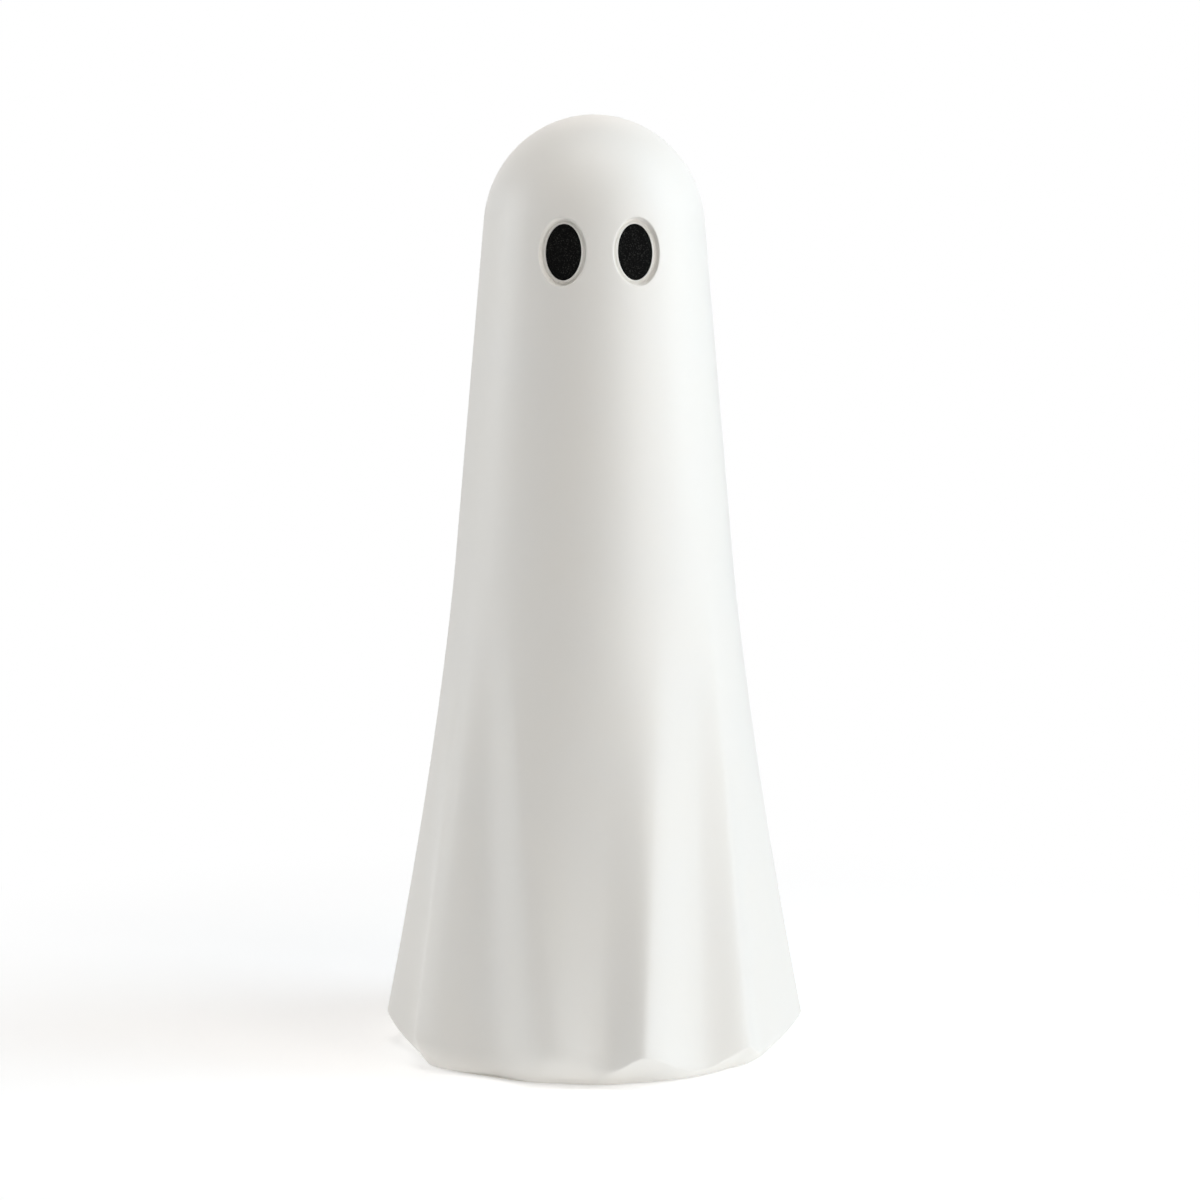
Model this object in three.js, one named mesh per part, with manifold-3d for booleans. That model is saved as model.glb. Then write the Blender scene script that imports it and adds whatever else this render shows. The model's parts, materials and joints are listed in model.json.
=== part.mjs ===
// A standing ghost decoration, 508 mm tall: a thin white moulded shell like a draped sheet, with
// two black eye inserts, closed underneath by a plate that carries a battery case, a timer board
// and a small board of LEDs that light the shell from inside.
// Millimetres, +Z up, the face towards -Y. The origin is on the ground under the dome's centre.
import * as THREE from 'three';
import { mergeVertices } from 'three/addons/utils/BufferGeometryUtils.js';
import Module from 'manifold-3d';

const wasm = await Module();
wasm.setup();

// Clearances
const GAP = 0.3; // between pieces that seat on each other
const RUNNING = 0.12; // round a pin that turns in its hole
const GLIDE = 0.2; // round the switch carriage in its housing

// Whole object
const HEIGHT = 508; // ground to the top of the dome
const PAD_PROUD = 0.8; // foot pads stand this far below the shell

// Dome and upper body
const DOME_HALF_WIDTH = 59.4;
const DOME_RISE = 61; // from the dome's widest level to its top
const DOME_JOIN = 5.5; // the skirt leaves the dome this far above the widest level
const TAPER = 0.0875; // the upper body widens by this much per mm down

// Skirt, which flares below the waist
const FLARE = 17.1; // extra radius at the hem
const FLARE_TOP = 270; // height where the flare begins
const FLARE_POWER = 1.65;
const HEM = 17; // height of the ridges' lower ends
const HEM_SEARCH = 34; // the scalloped line lies within this of HEM
const HEM_PRECISION = 0.001;
const CREST_TOP = 170; // height where a low ridge starts to lie back
const FADE = 1.3; // how fast a hollow deepens on its way down
const CREST_ROUND = 0.12; // rounding of a ridge, as a share of its hollow

// The folds in order round the body, in degrees from the face towards +X. Each has its ridge
// and the hollow that follows it. sway is how far the ridge turns round the body per 100 mm
// up, crest and hollow how far the two lie inside the flared outline at the hem, foot and
// hollowFoot the radii of the base below them, top the height where the hollow fades out, lean
// the place of its deepest line between two ridges, and before and after how narrow the hollow
// is on either side of that line.
const SWAY_PER = 100;
const FOLDS = [
  {
    ridge: -93, sway: 0, crest: 0, foot: 97.5, hollow: 12, hollowFoot: 99,
    top: 240, lean: 0.5, before: 1.2, after: 1.2
  },
  {
    ridge: -59.5, sway: -2, crest: 0, foot: 104.5, hollow: 15, hollowFoot: 98,
    top: 260, lean: 0.55, before: 2.2, after: 1.6
  },
  {
    ridge: -15, sway: -9, crest: 4.5, foot: 96, hollow: 9.5, hollowFoot: 97,
    top: 235, lean: 0.58, before: 1.2, after: 1.4
  },
  {
    ridge: 10.2, sway: 5, crest: 0, foot: 95.3, hollow: 14.5, hollowFoot: 96,
    top: 270, lean: 0.6, before: 1.3, after: 1.15
  },
  {
    ridge: 46, sway: 2.5, crest: 4.8, foot: 95, hollow: 11, hollowFoot: 97.6,
    top: 205, lean: 0.3, before: 1, after: 1
  },
  {
    ridge: 84, sway: 0, crest: 0, foot: 97, hollow: 11, hollowFoot: 98,
    top: 180, lean: 0.5, before: 1.2, after: 1.4
  },
  {
    ridge: 111, sway: 1, crest: 1, foot: 97, hollow: 13, hollowFoot: 99,
    top: 210, lean: 0.55, before: 1.2, after: 1.6
  },
  {
    ridge: 142, sway: -2, crest: 0, foot: 96, hollow: 12, hollowFoot: 98,
    top: 190, lean: 0.45, before: 1.4, after: 1.2
  },
  {
    ridge: 174, sway: 2, crest: 2, foot: 96, hollow: 15, hollowFoot: 98,
    top: 215, lean: 0.6, before: 1.1, after: 1.8
  },
  {
    ridge: 205, sway: -1, crest: 0, foot: 96, hollow: 12, hollowFoot: 98,
    top: 175, lean: 0.5, before: 1.3, after: 1.3
  },
  {
    ridge: 236, sway: 2, crest: 1, foot: 97, hollow: 13, hollowFoot: 99,
    top: 205, lean: 0.45, before: 1.6, after: 1.2
  },
];
const COLUMNS_PER_FOLD = 6;
const COLUMN_CROWDING = 0.6; // how much the columns gather at the ridges, 0 to 1
const SKIRT_RINGS = 14;
const SKIRT_CROWDING = 1.35; // over 1, the rings gather towards the hem
const DOME_RINGS = 7;

// Shell wall and its in-turned bottom
const WALL = 2.8;
const FLOOR = 2.5; // bottom ring and lip
const UNDER_ROUND = 2.5; // rounding where the bottom ring turns up
const BOTTOM_RING = 15; // flat ring between the narrowest foot and the base plate's recess
const LIP_W = 14; // lip that the plate is screwed to
const LINER_RINGS = 6;
const LINER_CROWDING = 1.8;
const LINER_DOME_RINGS = 4;

// Screws that hold the base plate
const BASE_SCREWS = 4;
const SCREW_INSET = 7; // from the recess's wall to the screws
const BASE_SCREW = { headR: 3, headH: 1.6, shankR: 1.4, length: 12 };
const BOSS_WALL = 2.4;
const BOSS_END = 1.5; // material past the end of a blind hole
const THREAD_ROOM = 0.15; // the screws are drawn at their core, without the thread

// Foot pads
const PADS = 4;
const PAD_R = 4.5;
const PAD_LET_IN = 1.2;

// Eyes
const EYE_DROP = 70.3; // from the top of the dome to the eyes' middle
const EYE_ANGLE = 19.2;
const SOCKET_DEPTH = 3.2; // ledge below the surface at the eye's middle
const INSERT_W = 19.6;
const INSERT_H = 29.6;
const LEDGE_MARGIN = 1.45; // flat ledge round the insert
const INSERT_T = 1.5;
const INSERT_SINK = 0.1; // face of the insert below the ledge
const SPIGOT_INSET = 4; // the plug behind the insert is this much smaller all round
const SPIGOT_LENGTH = 2.2;
const SOCKET_WALL = 2; // behind the pocket
const SOCKET_RIM = 3.6; // cup wall round the ledge
const MOUTH_REACH = 12.8; // the bevelled cut runs this far out of the ledge

// Base plate
const PLATE_T = 3;
const RIB_ROOM = 5; // between the lip and the middle of the ring-shaped rib
const RIB_T = 1.6;
const RIB_H = 5;
const FRAME_T = 2.4; // thickened frame round the battery opening

// Cells, size AA, in series
const CELLS = 3;
const CELL_R = 7.1;
const CELL_LENGTH = 49.5; // without the button
const BUTTON_R = 2.7;
const BUTTON_H = 1;
const CELL_EDGE = 0.6;
const CELL_SPACE = 0.7;
const CELL_LIFT = 0.8; // cells above the door
const BAY_X = -8; // middle of the battery bay
const CASE_WALL = 1.5;
const EAR_WALL = 1; // between the door's recess and the ear's screw
const EAR_END = 3.6; // from the screw to the ear's end
const EAR_WIDTH = 8;
const EAR_T = 2;
const EAR_INSET = 11; // from the case's end to the ear's middle
const SMALL_SCREW = { headR: 2.3, headH: 1.3, shankR: 1.1, length: 6 };

// Contacts
const CONTACT_T = 0.4;
const CONTACT_H = 11;
const CONTACT_W = 11;
const DIMPLE = 0.5;
const DIMPLE_R = 2.2;
const SPRING_LENGTH = 6;
const SPRING_BASE_R = 4.2;
const SPRING_TIP_R = 2.6;
const SPRING_WIRE = 0.8;
const SPRING_TURNS = 3.5;
const TAB_W = 3;
const TAB_RISE = 2.5; // solder tab above the case

// Battery door
const DOOR_T = 2.4;
const DOOR_LAP = 3.4; // door past the opening at its sides
const DOOR_END_LAP = 4.6;
const HINGE_R = 1.5;
const HINGE_PIN_R = 0.9;
const HINGE_PIN_LENGTH = 2.4;
const TAB_END = 6; // from the screw to the end of its tab
const TAB_WIDTH = 12;
const TAB_FRAME = 2.4; // frame past the tab
const DOOR_SCREW = { headR: 2.4, headH: 1.3, shankR: 1.3, length: 6 };
const DOOR_SCREW_ROOM = 0.35; // lets the captive screw swing out with the door

// Control board
const BOARD_ROOM = 0.75; // from the case's ear to the board
const BOARD_W = 22;
const BOARD_L = 36;
const BOARD_T = 1.6;
const STANDOFF_R = 2.6;
const STANDOFF_INSET = 4;
const CHIP = { w: 3.9, l: 5, h: 1.5, legs: 4, pitch: 1.27, legW: 0.45, reach: 1.1, lift: 0.15, y: 6.5 };
const CAPACITOR = { r: 2.5, h: 7, y: -6, edge: 0.3, crimpZ: 0.8, crimp: 0.3 };

// Slide switch with three positions
const SWITCH_W = 6.6;
const SWITCH_L = 13;
const SWITCH_H = 5.2;
const SWITCH_WALL = 0.8;
const SLIDE_TRAVEL = 4;
const CARRIAGE_L = 5;
const CARRIAGE_H = 2;
const KNOB_W = 3.4;
const KNOB_L = 3;
const KNOB_SINK = 0.5; // end of the knob above the plate's underside
const FINGER_WELL = { w: 11, l: 18, depth: 1.6 };
const SLOT_ROOM = 0.4;

// LED board
const LED_BOARD_R = 17;
const LED_POST_INSET = 6;
const LED_POST_H = 8;
const LEDS = 4;
const LED_RING = 9;
const LED_R = 2.5;
const LED_H = 5.4; // to where the round end starts
const LED_RIM_R = 2.9;
const LED_RIM_H = 1;

// Leads
const LEAD_R = 0.7;
const LEAD_SIDES = 8;
const LEAD_STEPS = 12;
const LEAD_INSET = 3; // from a board's edge to the joint
const LEAD_RISE = 2.5; // straight up from a joint
const LEAD_ARCH = 5; // over the end of the case
const LEAD_SWING = 4; // out from the joint on the control board
const LEAD_DROP = 7; // height over the control board where a lead swings out
const LED_LEAD_Y = 5;
const LED_LEAD_ANGLE = 18.4; // of the joints on the LED board
const LED_LEAD_CLIMB = 13;

// Corners round a turned piece
const FINE_STEPS = 40;
const EYE_STEPS = 28;
const RIB_STEPS = 24;
const ROUND_STEPS = 18;
const ROD_STEPS = 12;
const HOLE_STEPS = 10;
const SPRING_SIDES = 5;
const STEPS_PER_TURN = 7;
const LED_DOME_STEPS = 4;

const COLOURS = {
  shell: { color: 0xf2f1ee, roughness: 0.55, metalness: 0 },
  eye: { color: 0x141414, roughness: 0.7, metalness: 0 },
  plate: { color: 0xeceae6, roughness: 0.6, metalness: 0 },
  rubber: { color: 0x2b2b2b, roughness: 0.9, metalness: 0 },
  case: { color: 0x1d1d1f, roughness: 0.5, metalness: 0 },
  steel: { color: 0xb9bcc0, roughness: 0.3, metalness: 1 },
  nickel: { color: 0xc9c7bf, roughness: 0.25, metalness: 1 },
  cell: { color: 0x3a3d42, roughness: 0.35, metalness: 0.2 },
  board: { color: 0x1f5a36, roughness: 0.5, metalness: 0 },
  chip: { color: 0x161616, roughness: 0.6, metalness: 0 },
  led: { color: 0xf4e9c4, roughness: 0.15, metalness: 0 },
  redLead: { color: 0xb02020, roughness: 0.5, metalness: 0 },
  blackLead: { color: 0x1a1a1a, roughness: 0.5, metalness: 0 },
};

// Levels and radii worked out from the sizes above
const domeZ = HEIGHT - DOME_RISE;
const joinZ = domeZ + DOME_JOIN;
const joinR = DOME_HALF_WIDTH * Math.sqrt(1 - (DOME_JOIN / DOME_RISE) ** 2);
const bottomZ = PAD_PROUD;
const floorTop = bottomZ + FLOOR;
const plateTop = bottomZ + PLATE_T;
const lipZ = plateTop + GAP;
const lipTop = lipZ + FLOOR;
const frameTop = plateTop + FRAME_T;
const rebateR = Math.min(...FOLDS.map((fold) => fold.foot)) - BOTTOM_RING;
const lipR = rebateR - LIP_W;
const plateR = rebateR - GAP;
const ribRing = lipR - RIB_ROOM;
const eyeZ = HEIGHT - EYE_DROP;
const ledgeW = INSERT_W + 2 * LEDGE_MARGIN;
const ledgeH = INSERT_H + 2 * LEDGE_MARGIN;

const bayWidth = CELLS * 2 * CELL_R + (CELLS + 1) * CELL_SPACE;
const cellPitch = 2 * CELL_R + CELL_SPACE;
const contactRoom = GAP + CONTACT_T;
const bayLength = 2 * contactRoom + DIMPLE + GAP + BUTTON_H + CELL_LENGTH + GAP + SPRING_LENGTH;
const doorTop = bottomZ + DOOR_T;
const cellZ = doorTop + CELL_LIFT + CELL_R;
const ceilingZ = cellZ + CELL_R + GAP;
const caseZ = frameTop + GAP;
const caseTop = ceilingZ + CASE_WALL;

const caseHalfW = bayWidth / 2 + CASE_WALL;
const caseHalfL = bayLength / 2 + CASE_WALL;
const doorHalfW = bayWidth / 2 + DOOR_LAP;
const doorHalfL = bayLength / 2 + DOOR_END_LAP;
const hingeY = doorHalfL - HINGE_R;
const hingeZ = bottomZ + HINGE_R;
const doorBossR = DOOR_SCREW.shankR + DOOR_SCREW_ROOM + BOSS_WALL;
const doorScrewY = -caseHalfL - GAP - doorBossR;
const doorSeat = bottomZ + DOOR_SCREW.headH + THREAD_ROOM; // underside of the screw's head
const tabEndY = doorScrewY - TAB_END;

const smallHole = SMALL_SCREW.shankR + THREAD_ROOM;
const earX = doorHalfW + GAP + EAR_WALL + smallHole;
const earY = caseHalfL - EAR_INSET;
const frameHalfW = earX + EAR_END;
const frameHalfL = doorHalfL + DOOR_LAP;
const boardX = BAY_X + frameHalfW + BOARD_ROOM + BOARD_W / 2;
const standoffY = BOARD_L / 2 - STANDOFF_INSET;
const ledPostX = LED_BOARD_R - LED_POST_INSET;

const switchZ = plateTop + 2 * GAP;
const boardZ = switchZ + SWITCH_H + GAP;
const ledBoardZ = caseTop + LED_POST_H + GAP;

// Shapes

const rad = THREE.MathUtils.degToRad;
const v2 = (x, y) => new THREE.Vector2(x, y);
const v3 = (x, y, z) => new THREE.Vector3(x, y, z);

// A point at an angle round the body, counted from the face towards +X.
function around(angle, radius, z) {
  return v3(radius * Math.sin(rad(angle)), -radius * Math.cos(rad(angle)), z);
}

function toSolid(geometry) {
  const bare = geometry.clone();
  bare.deleteAttribute('normal');
  bare.deleteAttribute('uv');
  const merged = mergeVertices(bare, 1e-4);
  return new wasm.Manifold(new wasm.Mesh({
    numProp: 3,
    vertProperties: new Float32Array(merged.attributes.position.array),
    triVerts: new Uint32Array(merged.index.array),
  }));
}

function toGeometry(solid) {
  const mesh = solid.getMesh();
  const geometry = new THREE.BufferGeometry();
  geometry.setAttribute('position', new THREE.BufferAttribute(mesh.vertProperties, 3));
  geometry.setIndex(new THREE.BufferAttribute(mesh.triVerts, 1));
  const flat = geometry.toNonIndexed();
  flat.computeVertexNormals();
  return flat;
}

// A block centred on x and y that stands on z.
function block(width, length, height, x = 0, y = 0, z = 0) {
  return toSolid(new THREE.BoxGeometry(width, length, height).translate(x, y, z + height / 2));
}

// A turned solid about Z. The profile's points are radius and height, bottom first.
function turned(profile, steps) {
  return toSolid(new THREE.LatheGeometry(profile.map(([r, z]) => v2(r, z)), steps).rotateX(Math.PI / 2));
}

function rod(radius, height, x = 0, y = 0, z = 0, steps = ROD_STEPS) {
  const profile = [[0, 0], [radius, 0], [radius, height], [0, height]];
  return turned(profile, steps).translate([x, y, z]);
}

function oval(width, length, height, z = 0) {
  return rod(1, height, 0, 0, z, EYE_STEPS).scale([width / 2, length / 2, 1]);
}

function union(solids) {
  return solids.reduce((whole, solid) => whole.add(solid));
}

// Body shell: the draped outline

function envelope(z) {
  if (z > joinZ) {
    return DOME_HALF_WIDTH * Math.sqrt(Math.max(0, 1 - ((z - domeZ) / DOME_RISE) ** 2));
  }
  const below = Math.max(0, FLARE_TOP - z) / (FLARE_TOP - HEM);
  return joinR + TAPER * (joinZ - z) + FLARE * below ** FLARE_POWER;
}

// The fold that an angle lies in, and how far it is from its ridge to the next, 0 to 1.
function foldAt(angle) {
  const first = FOLDS[0].ridge;
  const turn = first + ((((angle - first) % 360) + 360) % 360);
  const index = FOLDS.findLastIndex((fold) => fold.ridge <= turn + 1e-9);
  const fold = FOLDS[index];
  const next = FOLDS[(index + 1) % FOLDS.length];
  const end = index + 1 < FOLDS.length ? next.ridge : first + 360;
  return { fold, next, share: (turn - fold.ridge) / (end - fold.ridge) };
}

// 0 on the ridges and 1 on the hollow's deepest line.
function hollowShare(fold, share) {
  const leading = share < fold.lean;
  const turn = leading ? (0.5 * share) / fold.lean : 0.5 + (0.5 * (share - fold.lean)) / (1 - fold.lean);
  const wave = Math.sin(Math.PI * turn);
  const round = (Math.hypot(wave, CREST_ROUND) - CREST_ROUND) / (Math.hypot(1, CREST_ROUND) - CREST_ROUND);
  return Math.max(0, round) ** (leading ? fold.before : fold.after);
}

function fading(z, top) {
  return (Math.max(0, top - z) / (top - HEM)) ** FADE;
}

function skirtRadius(angle, z) {
  const { fold, next, share } = foldAt(angle);
  const hollow = hollowShare(fold, share);
  const crest = THREE.MathUtils.lerp(fold.crest, next.crest, share) * fading(z, CREST_TOP);
  return envelope(z) - crest * (1 - hollow) - fold.hollow * fading(z, fold.top) * hollow;
}

// Radius of the base cone at ground level: 45 degrees all the way round.
function footRadius(angle) {
  const { fold, next, share } = foldAt(angle);
  const hollow = hollowShare(fold, share);
  return THREE.MathUtils.lerp(THREE.MathUtils.lerp(fold.foot, next.foot, share), fold.hollowFoot, hollow);
}

// A fold turns a little round the body on its way up to the waist.
function swayed(angle, z) {
  const { fold, next, share } = foldAt(angle);
  const sway = THREE.MathUtils.lerp(fold.sway, next.sway, share);
  return angle + (sway * (Math.min(z, FLARE_TOP) - HEM)) / SWAY_PER;
}

// Height where the fold's surface meets the base cone: the scalloped hem line.
function hemHeight(angle) {
  let low = bottomZ + UNDER_ROUND / 2;
  let high = HEM + HEM_SEARCH;
  while (high - low > HEM_PRECISION) {
    const middle = (low + high) / 2;
    if (skirtRadius(angle, middle) > footRadius(angle) + middle) low = middle;
    else high = middle;
  }
  return low;
}

// Columns crowd towards the ridges, where the surface turns most.
function columnAngles() {
  const angles = [];
  FOLDS.forEach((fold, index) => {
    const end = index + 1 < FOLDS.length ? FOLDS[index + 1].ridge : FOLDS[0].ridge + 360;
    for (let i = 0; i < COLUMNS_PER_FOLD; i++) {
      const even = i / COLUMNS_PER_FOLD;
      const crowded = 0.5 - 0.5 * Math.cos(Math.PI * even);
      angles.push(fold.ridge + (end - fold.ridge) * THREE.MathUtils.lerp(even, crowded, COLUMN_CROWDING));
    }
  });
  return angles;
}

// Rings run from the top of the dome down the outside, in under the bottom and up the inside.
function shellRings(angles) {
  const rings = [];
  const ring = (radius, height) => {
    rings.push(angles.map((a) => around(swayed(a, height(a)), radius(a), height(a))));
  };
  const fixed = (value) => () => value;
  const hems = new Map(angles.map((a) => [a, hemHeight(a)]));
  const domeStart = Math.asin(DOME_JOIN / DOME_RISE);
  for (let i = 1; i < DOME_RINGS; i++) {
    const climb = THREE.MathUtils.lerp(Math.PI / 2, domeStart, i / DOME_RINGS);
    ring(() => DOME_HALF_WIDTH * Math.cos(climb), fixed(domeZ + DOME_RISE * Math.sin(climb)));
  }
  for (let i = SKIRT_RINGS; i >= 0; i--) {
    const z = (a) => hems.get(a) + (joinZ - hems.get(a)) * (i / SKIRT_RINGS) ** SKIRT_CROWDING;
    ring((a) => skirtRadius(a, z(a)), z);
  }
  const turnIn = UNDER_ROUND * Math.tan(Math.PI / 8);
  [Math.PI / 4, Math.PI / 8, 0].forEach((turn) => {
    const z = bottomZ + UNDER_ROUND * (1 - Math.cos(turn));
    const out = bottomZ - turnIn + UNDER_ROUND * Math.sin(turn);
    ring((a) => Math.min(skirtRadius(a, z), footRadius(a) + out), fixed(z));
  });
  ring(fixed(rebateR), fixed(bottomZ));
  ring(fixed(rebateR), fixed(lipZ));
  ring(fixed(lipR), fixed(lipZ));
  ring(fixed(lipR), fixed(lipTop));
  ring(fixed(rebateR + FLOOR), fixed(lipTop));
  ring(fixed(rebateR + FLOOR), fixed(floorTop));
  const inside = (a, z) => Math.min(skirtRadius(a, z) - WALL, footRadius(a) + z - WALL * Math.SQRT2);
  for (let i = 0; i <= LINER_RINGS; i++) {
    const z = floorTop + (joinZ - floorTop) * (i / LINER_RINGS) ** LINER_CROWDING;
    ring((a) => inside(a, z), fixed(z));
  }
  for (let i = 1; i < LINER_DOME_RINGS; i++) {
    const climb = THREE.MathUtils.lerp(domeStart, Math.PI / 2, i / LINER_DOME_RINGS);
    const z = domeZ + (DOME_RISE - WALL) * Math.sin(climb);
    ring(() => (DOME_HALF_WIDTH - WALL) * Math.cos(climb), fixed(z));
  }
  return rings;
}

function shellSkin() {
  const angles = columnAngles();
  const rings = shellRings(angles);
  const count = angles.length;
  const points = [v3(0, 0, HEIGHT), ...rings.flat(), v3(0, 0, HEIGHT - WALL)];
  const faces = [];
  const at = (ring, column) => 1 + ring * count + (column % count);
  for (let c = 0; c < count; c++) {
    faces.push(0, at(0, c), at(0, c + 1));
    faces.push(points.length - 1, at(rings.length - 1, c + 1), at(rings.length - 1, c));
    for (let r = 0; r + 1 < rings.length; r++) {
      faces.push(at(r, c), at(r + 1, c), at(r + 1, c + 1));
      faces.push(at(r, c), at(r + 1, c + 1), at(r, c + 1));
    }
  }
  const skin = new THREE.BufferGeometry().setFromPoints(points);
  skin.setIndex(faces);
  return skin;
}

// Body shell: eyes, bosses and pads

// The eye's own frame: x across, y up, z out of the face, with the origin on the ledge.
function eyeFrame(side) {
  const outward = around(side * EYE_ANGLE, 1, 0);
  const tilt = Math.atan(TAPER);
  const normal = outward.clone().multiplyScalar(Math.cos(tilt)).add(v3(0, 0, Math.sin(tilt)));
  const upward = outward.clone().multiplyScalar(-Math.sin(tilt)).add(v3(0, 0, Math.cos(tilt)));
  const across = new THREE.Vector3().crossVectors(upward, normal);
  const surface = around(side * EYE_ANGLE, envelope(eyeZ), eyeZ);
  const ledge = surface.addScaledVector(normal, -SOCKET_DEPTH);
  return new THREE.Matrix4().makeBasis(across, upward, normal).setPosition(ledge);
}

const pocketDepth = INSERT_T + INSERT_SINK + GAP;
const spigotW = INSERT_W - 2 * SPIGOT_INSET;
const spigotH = INSERT_H - 2 * SPIGOT_INSET;

function socketCup(frame) {
  const depth = pocketDepth + SOCKET_WALL;
  return oval(ledgeW + 2 * SOCKET_RIM, ledgeH + 2 * SOCKET_RIM, depth + GAP, -depth)
    .transform(frame.elements);
}

function socketCut(frame) {
  const half = ledgeW / 2;
  const profile = [[0, 0], [half, 0], [half + MOUTH_REACH, MOUTH_REACH], [0, MOUTH_REACH]];
  const mouth = turned(profile, EYE_STEPS).scale([1, ledgeH / ledgeW, 1]);
  const pocket = oval(INSERT_W, INSERT_H, pocketDepth + GAP, -pocketDepth);
  const hole = oval(spigotW, spigotH, MOUTH_REACH, -MOUTH_REACH);
  return union([mouth, pocket, hole]).transform(frame.elements);
}

function spots(count, radius, offset) {
  return Array.from({ length: count }, (_, i) => around(offset + (360 * i) / count, radius, 0));
}

const screwSpots = spots(BASE_SCREWS, rebateR - SCREW_INSET, 0);
const padSpots = spots(PADS, rebateR + BOTTOM_RING / 2, 180 / PADS);

// The underside of a screw's head stands this far above the foot of its recess.
const baseSeat = bottomZ + BASE_SCREW.headH + 2 * THREAD_ROOM;

function bodyShell() {
  const eyes = [-1, 1].map(eyeFrame);
  const holeR = BASE_SCREW.shankR + THREAD_ROOM;
  const holeTop = baseSeat + BASE_SCREW.length + GAP;
  let shell = toSolid(shellSkin());
  shell = union([shell, ...eyes.map(socketCup)]);
  screwSpots.forEach(({ x, y }) => {
    const start = lipTop - FLOOR / 2;
    shell = shell.add(rod(holeR + BOSS_WALL, holeTop + BOSS_END - start, x, y, start));
  });
  screwSpots.forEach(({ x, y }) => {
    shell = shell.subtract(rod(holeR, holeTop - lipZ + FLOOR, x, y, lipZ - FLOOR, HOLE_STEPS));
  });
  padSpots.forEach(({ x, y }) => {
    shell = shell.subtract(rod(PAD_R + GAP, PAD_LET_IN + FLOOR, x, y, bottomZ - FLOOR));
  });
  eyes.forEach((frame) => {
    shell = shell.subtract(socketCut(frame));
  });
  return toGeometry(shell);
}

function eyeInsert() {
  const face = oval(INSERT_W - 2 * GAP, INSERT_H - 2 * GAP, INSERT_T, -INSERT_SINK - INSERT_T);
  const spigot = oval(spigotW - 2 * GAP, spigotH - 2 * GAP, SPIGOT_LENGTH + INSERT_T / 2,
    -INSERT_SINK - INSERT_T - SPIGOT_LENGTH);
  return toGeometry(face.add(spigot));
}

function footPad() {
  const height = PAD_LET_IN + PAD_PROUD - GAP;
  const soft = PAD_PROUD / 2;
  const profile = [[0, 0], [PAD_R - soft, 0], [PAD_R, soft], [PAD_R, height], [0, height]];
  return toGeometry(turned(profile, ROUND_STEPS));
}

// A pan head screw with its head down and the underside of the head at the origin. The head's
// rounded edge and the point are drawn as one bevel each.
function screw({ headR, headH, shankR, length }) {
  return toGeometry(turned([
    [0, -headH], [headR - headH / 2, -headH], [headR, -headH / 2], [headR, 0],
    [shankR, 0], [shankR, length - shankR], [shankR / 3, length], [0, length],
  ], HOLE_STEPS));
}

// Base plate

const standoffSpots = [v2(boardX, -standoffY), v2(boardX, standoffY)];
const earSpots = [v2(BAY_X - earX, -earY), v2(BAY_X + earX, earY)];
const ledPostSpots = [v2(-ledPostX, 0), v2(ledPostX, 0)];

function ribs() {
  const foot = plateTop - PLATE_T / 2;
  const ring = rod(ribRing + RIB_T / 2, RIB_H, 0, 0, foot, RIB_STEPS)
    .subtract(rod(ribRing - RIB_T / 2, 2 * RIB_H, 0, 0, plateTop - PLATE_T, RIB_STEPS));
  const across = [-1, 1].map((side) => {
    const length = ribRing - frameHalfL;
    return block(RIB_T, length, RIB_H, 0, side * (frameHalfL + length / 2), foot);
  });
  const frameSide = BAY_X - frameHalfW;
  const sideLength = ribRing + frameSide;
  const side = block(sideLength, RIB_T, RIB_H, frameSide - sideLength / 2, 0, foot);
  return union([ring, ...across, side]);
}

// What stands on the plate starts at half its thickness, so that it is fused to it.
function plateBosses() {
  const foot = bottomZ + PLATE_T / 2;
  const frameH = frameTop - foot;
  const tabFrameL = -tabEndY + TAB_FRAME;
  const frame = [
    block(2 * frameHalfW, 2 * frameHalfL, frameH, BAY_X, 0, foot),
    block(TAB_WIDTH + 2 * TAB_FRAME, tabFrameL, frameH, BAY_X, -tabFrameL / 2, foot),
  ];
  const standoffs = standoffSpots.map(({ x, y }) => rod(STANDOFF_R, boardZ - GAP - foot, x, y, foot));
  const screwTop = doorSeat + DOOR_SCREW.length + GAP + BOSS_END;
  const doorBoss = rod(doorBossR, screwTop - foot, BAY_X, doorScrewY, foot);
  const inside = rod(lipR - GAP, screwTop, 0, 0, bottomZ, FINE_STEPS);
  const standing = union([ribs(), ...frame, ...standoffs, doorBoss]).intersect(inside);
  return standing.add(rod(plateR, PLATE_T, 0, 0, bottomZ, FINE_STEPS));
}

// The door's flat part, with its screw tab, up to the hinge's line.
function doorOutline(grow) {
  const start = -doorHalfL - grow;
  const plate = block(2 * (doorHalfW + grow), hingeY - start, DOOR_T, 0, (hingeY + start) / 2, bottomZ);
  const tabLength = hingeY - tabEndY + grow;
  const tab = block(TAB_WIDTH + 2 * grow, tabLength, DOOR_T, 0, hingeY - tabLength / 2, bottomZ);
  return plate.add(tab);
}

function doorRebate() {
  const grown = doorOutline(GAP).translate([BAY_X, 0, 0]);
  const lower = grown.translate([0, 0, -DOOR_T / 2]);
  const upper = grown.translate([0, 0, GAP]);
  const groove = barrel(HINGE_R + GAP, doorHalfW + GAP, ROD_STEPS).translate([BAY_X, 0, 0]);
  const mouth = block(2 * (doorHalfW + GAP), 2 * (HINGE_R + GAP), DOOR_T, BAY_X, hingeY,
    hingeZ - DOOR_T);
  return union([lower, upper, groove, mouth]);
}

// A rod along X on the hinge's line.
function barrel(radius, half, steps) {
  return rod(radius, 2 * half, 0, 0, -half, steps).rotate([0, 90, 0]).translate([0, hingeY, hingeZ]);
}

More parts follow.
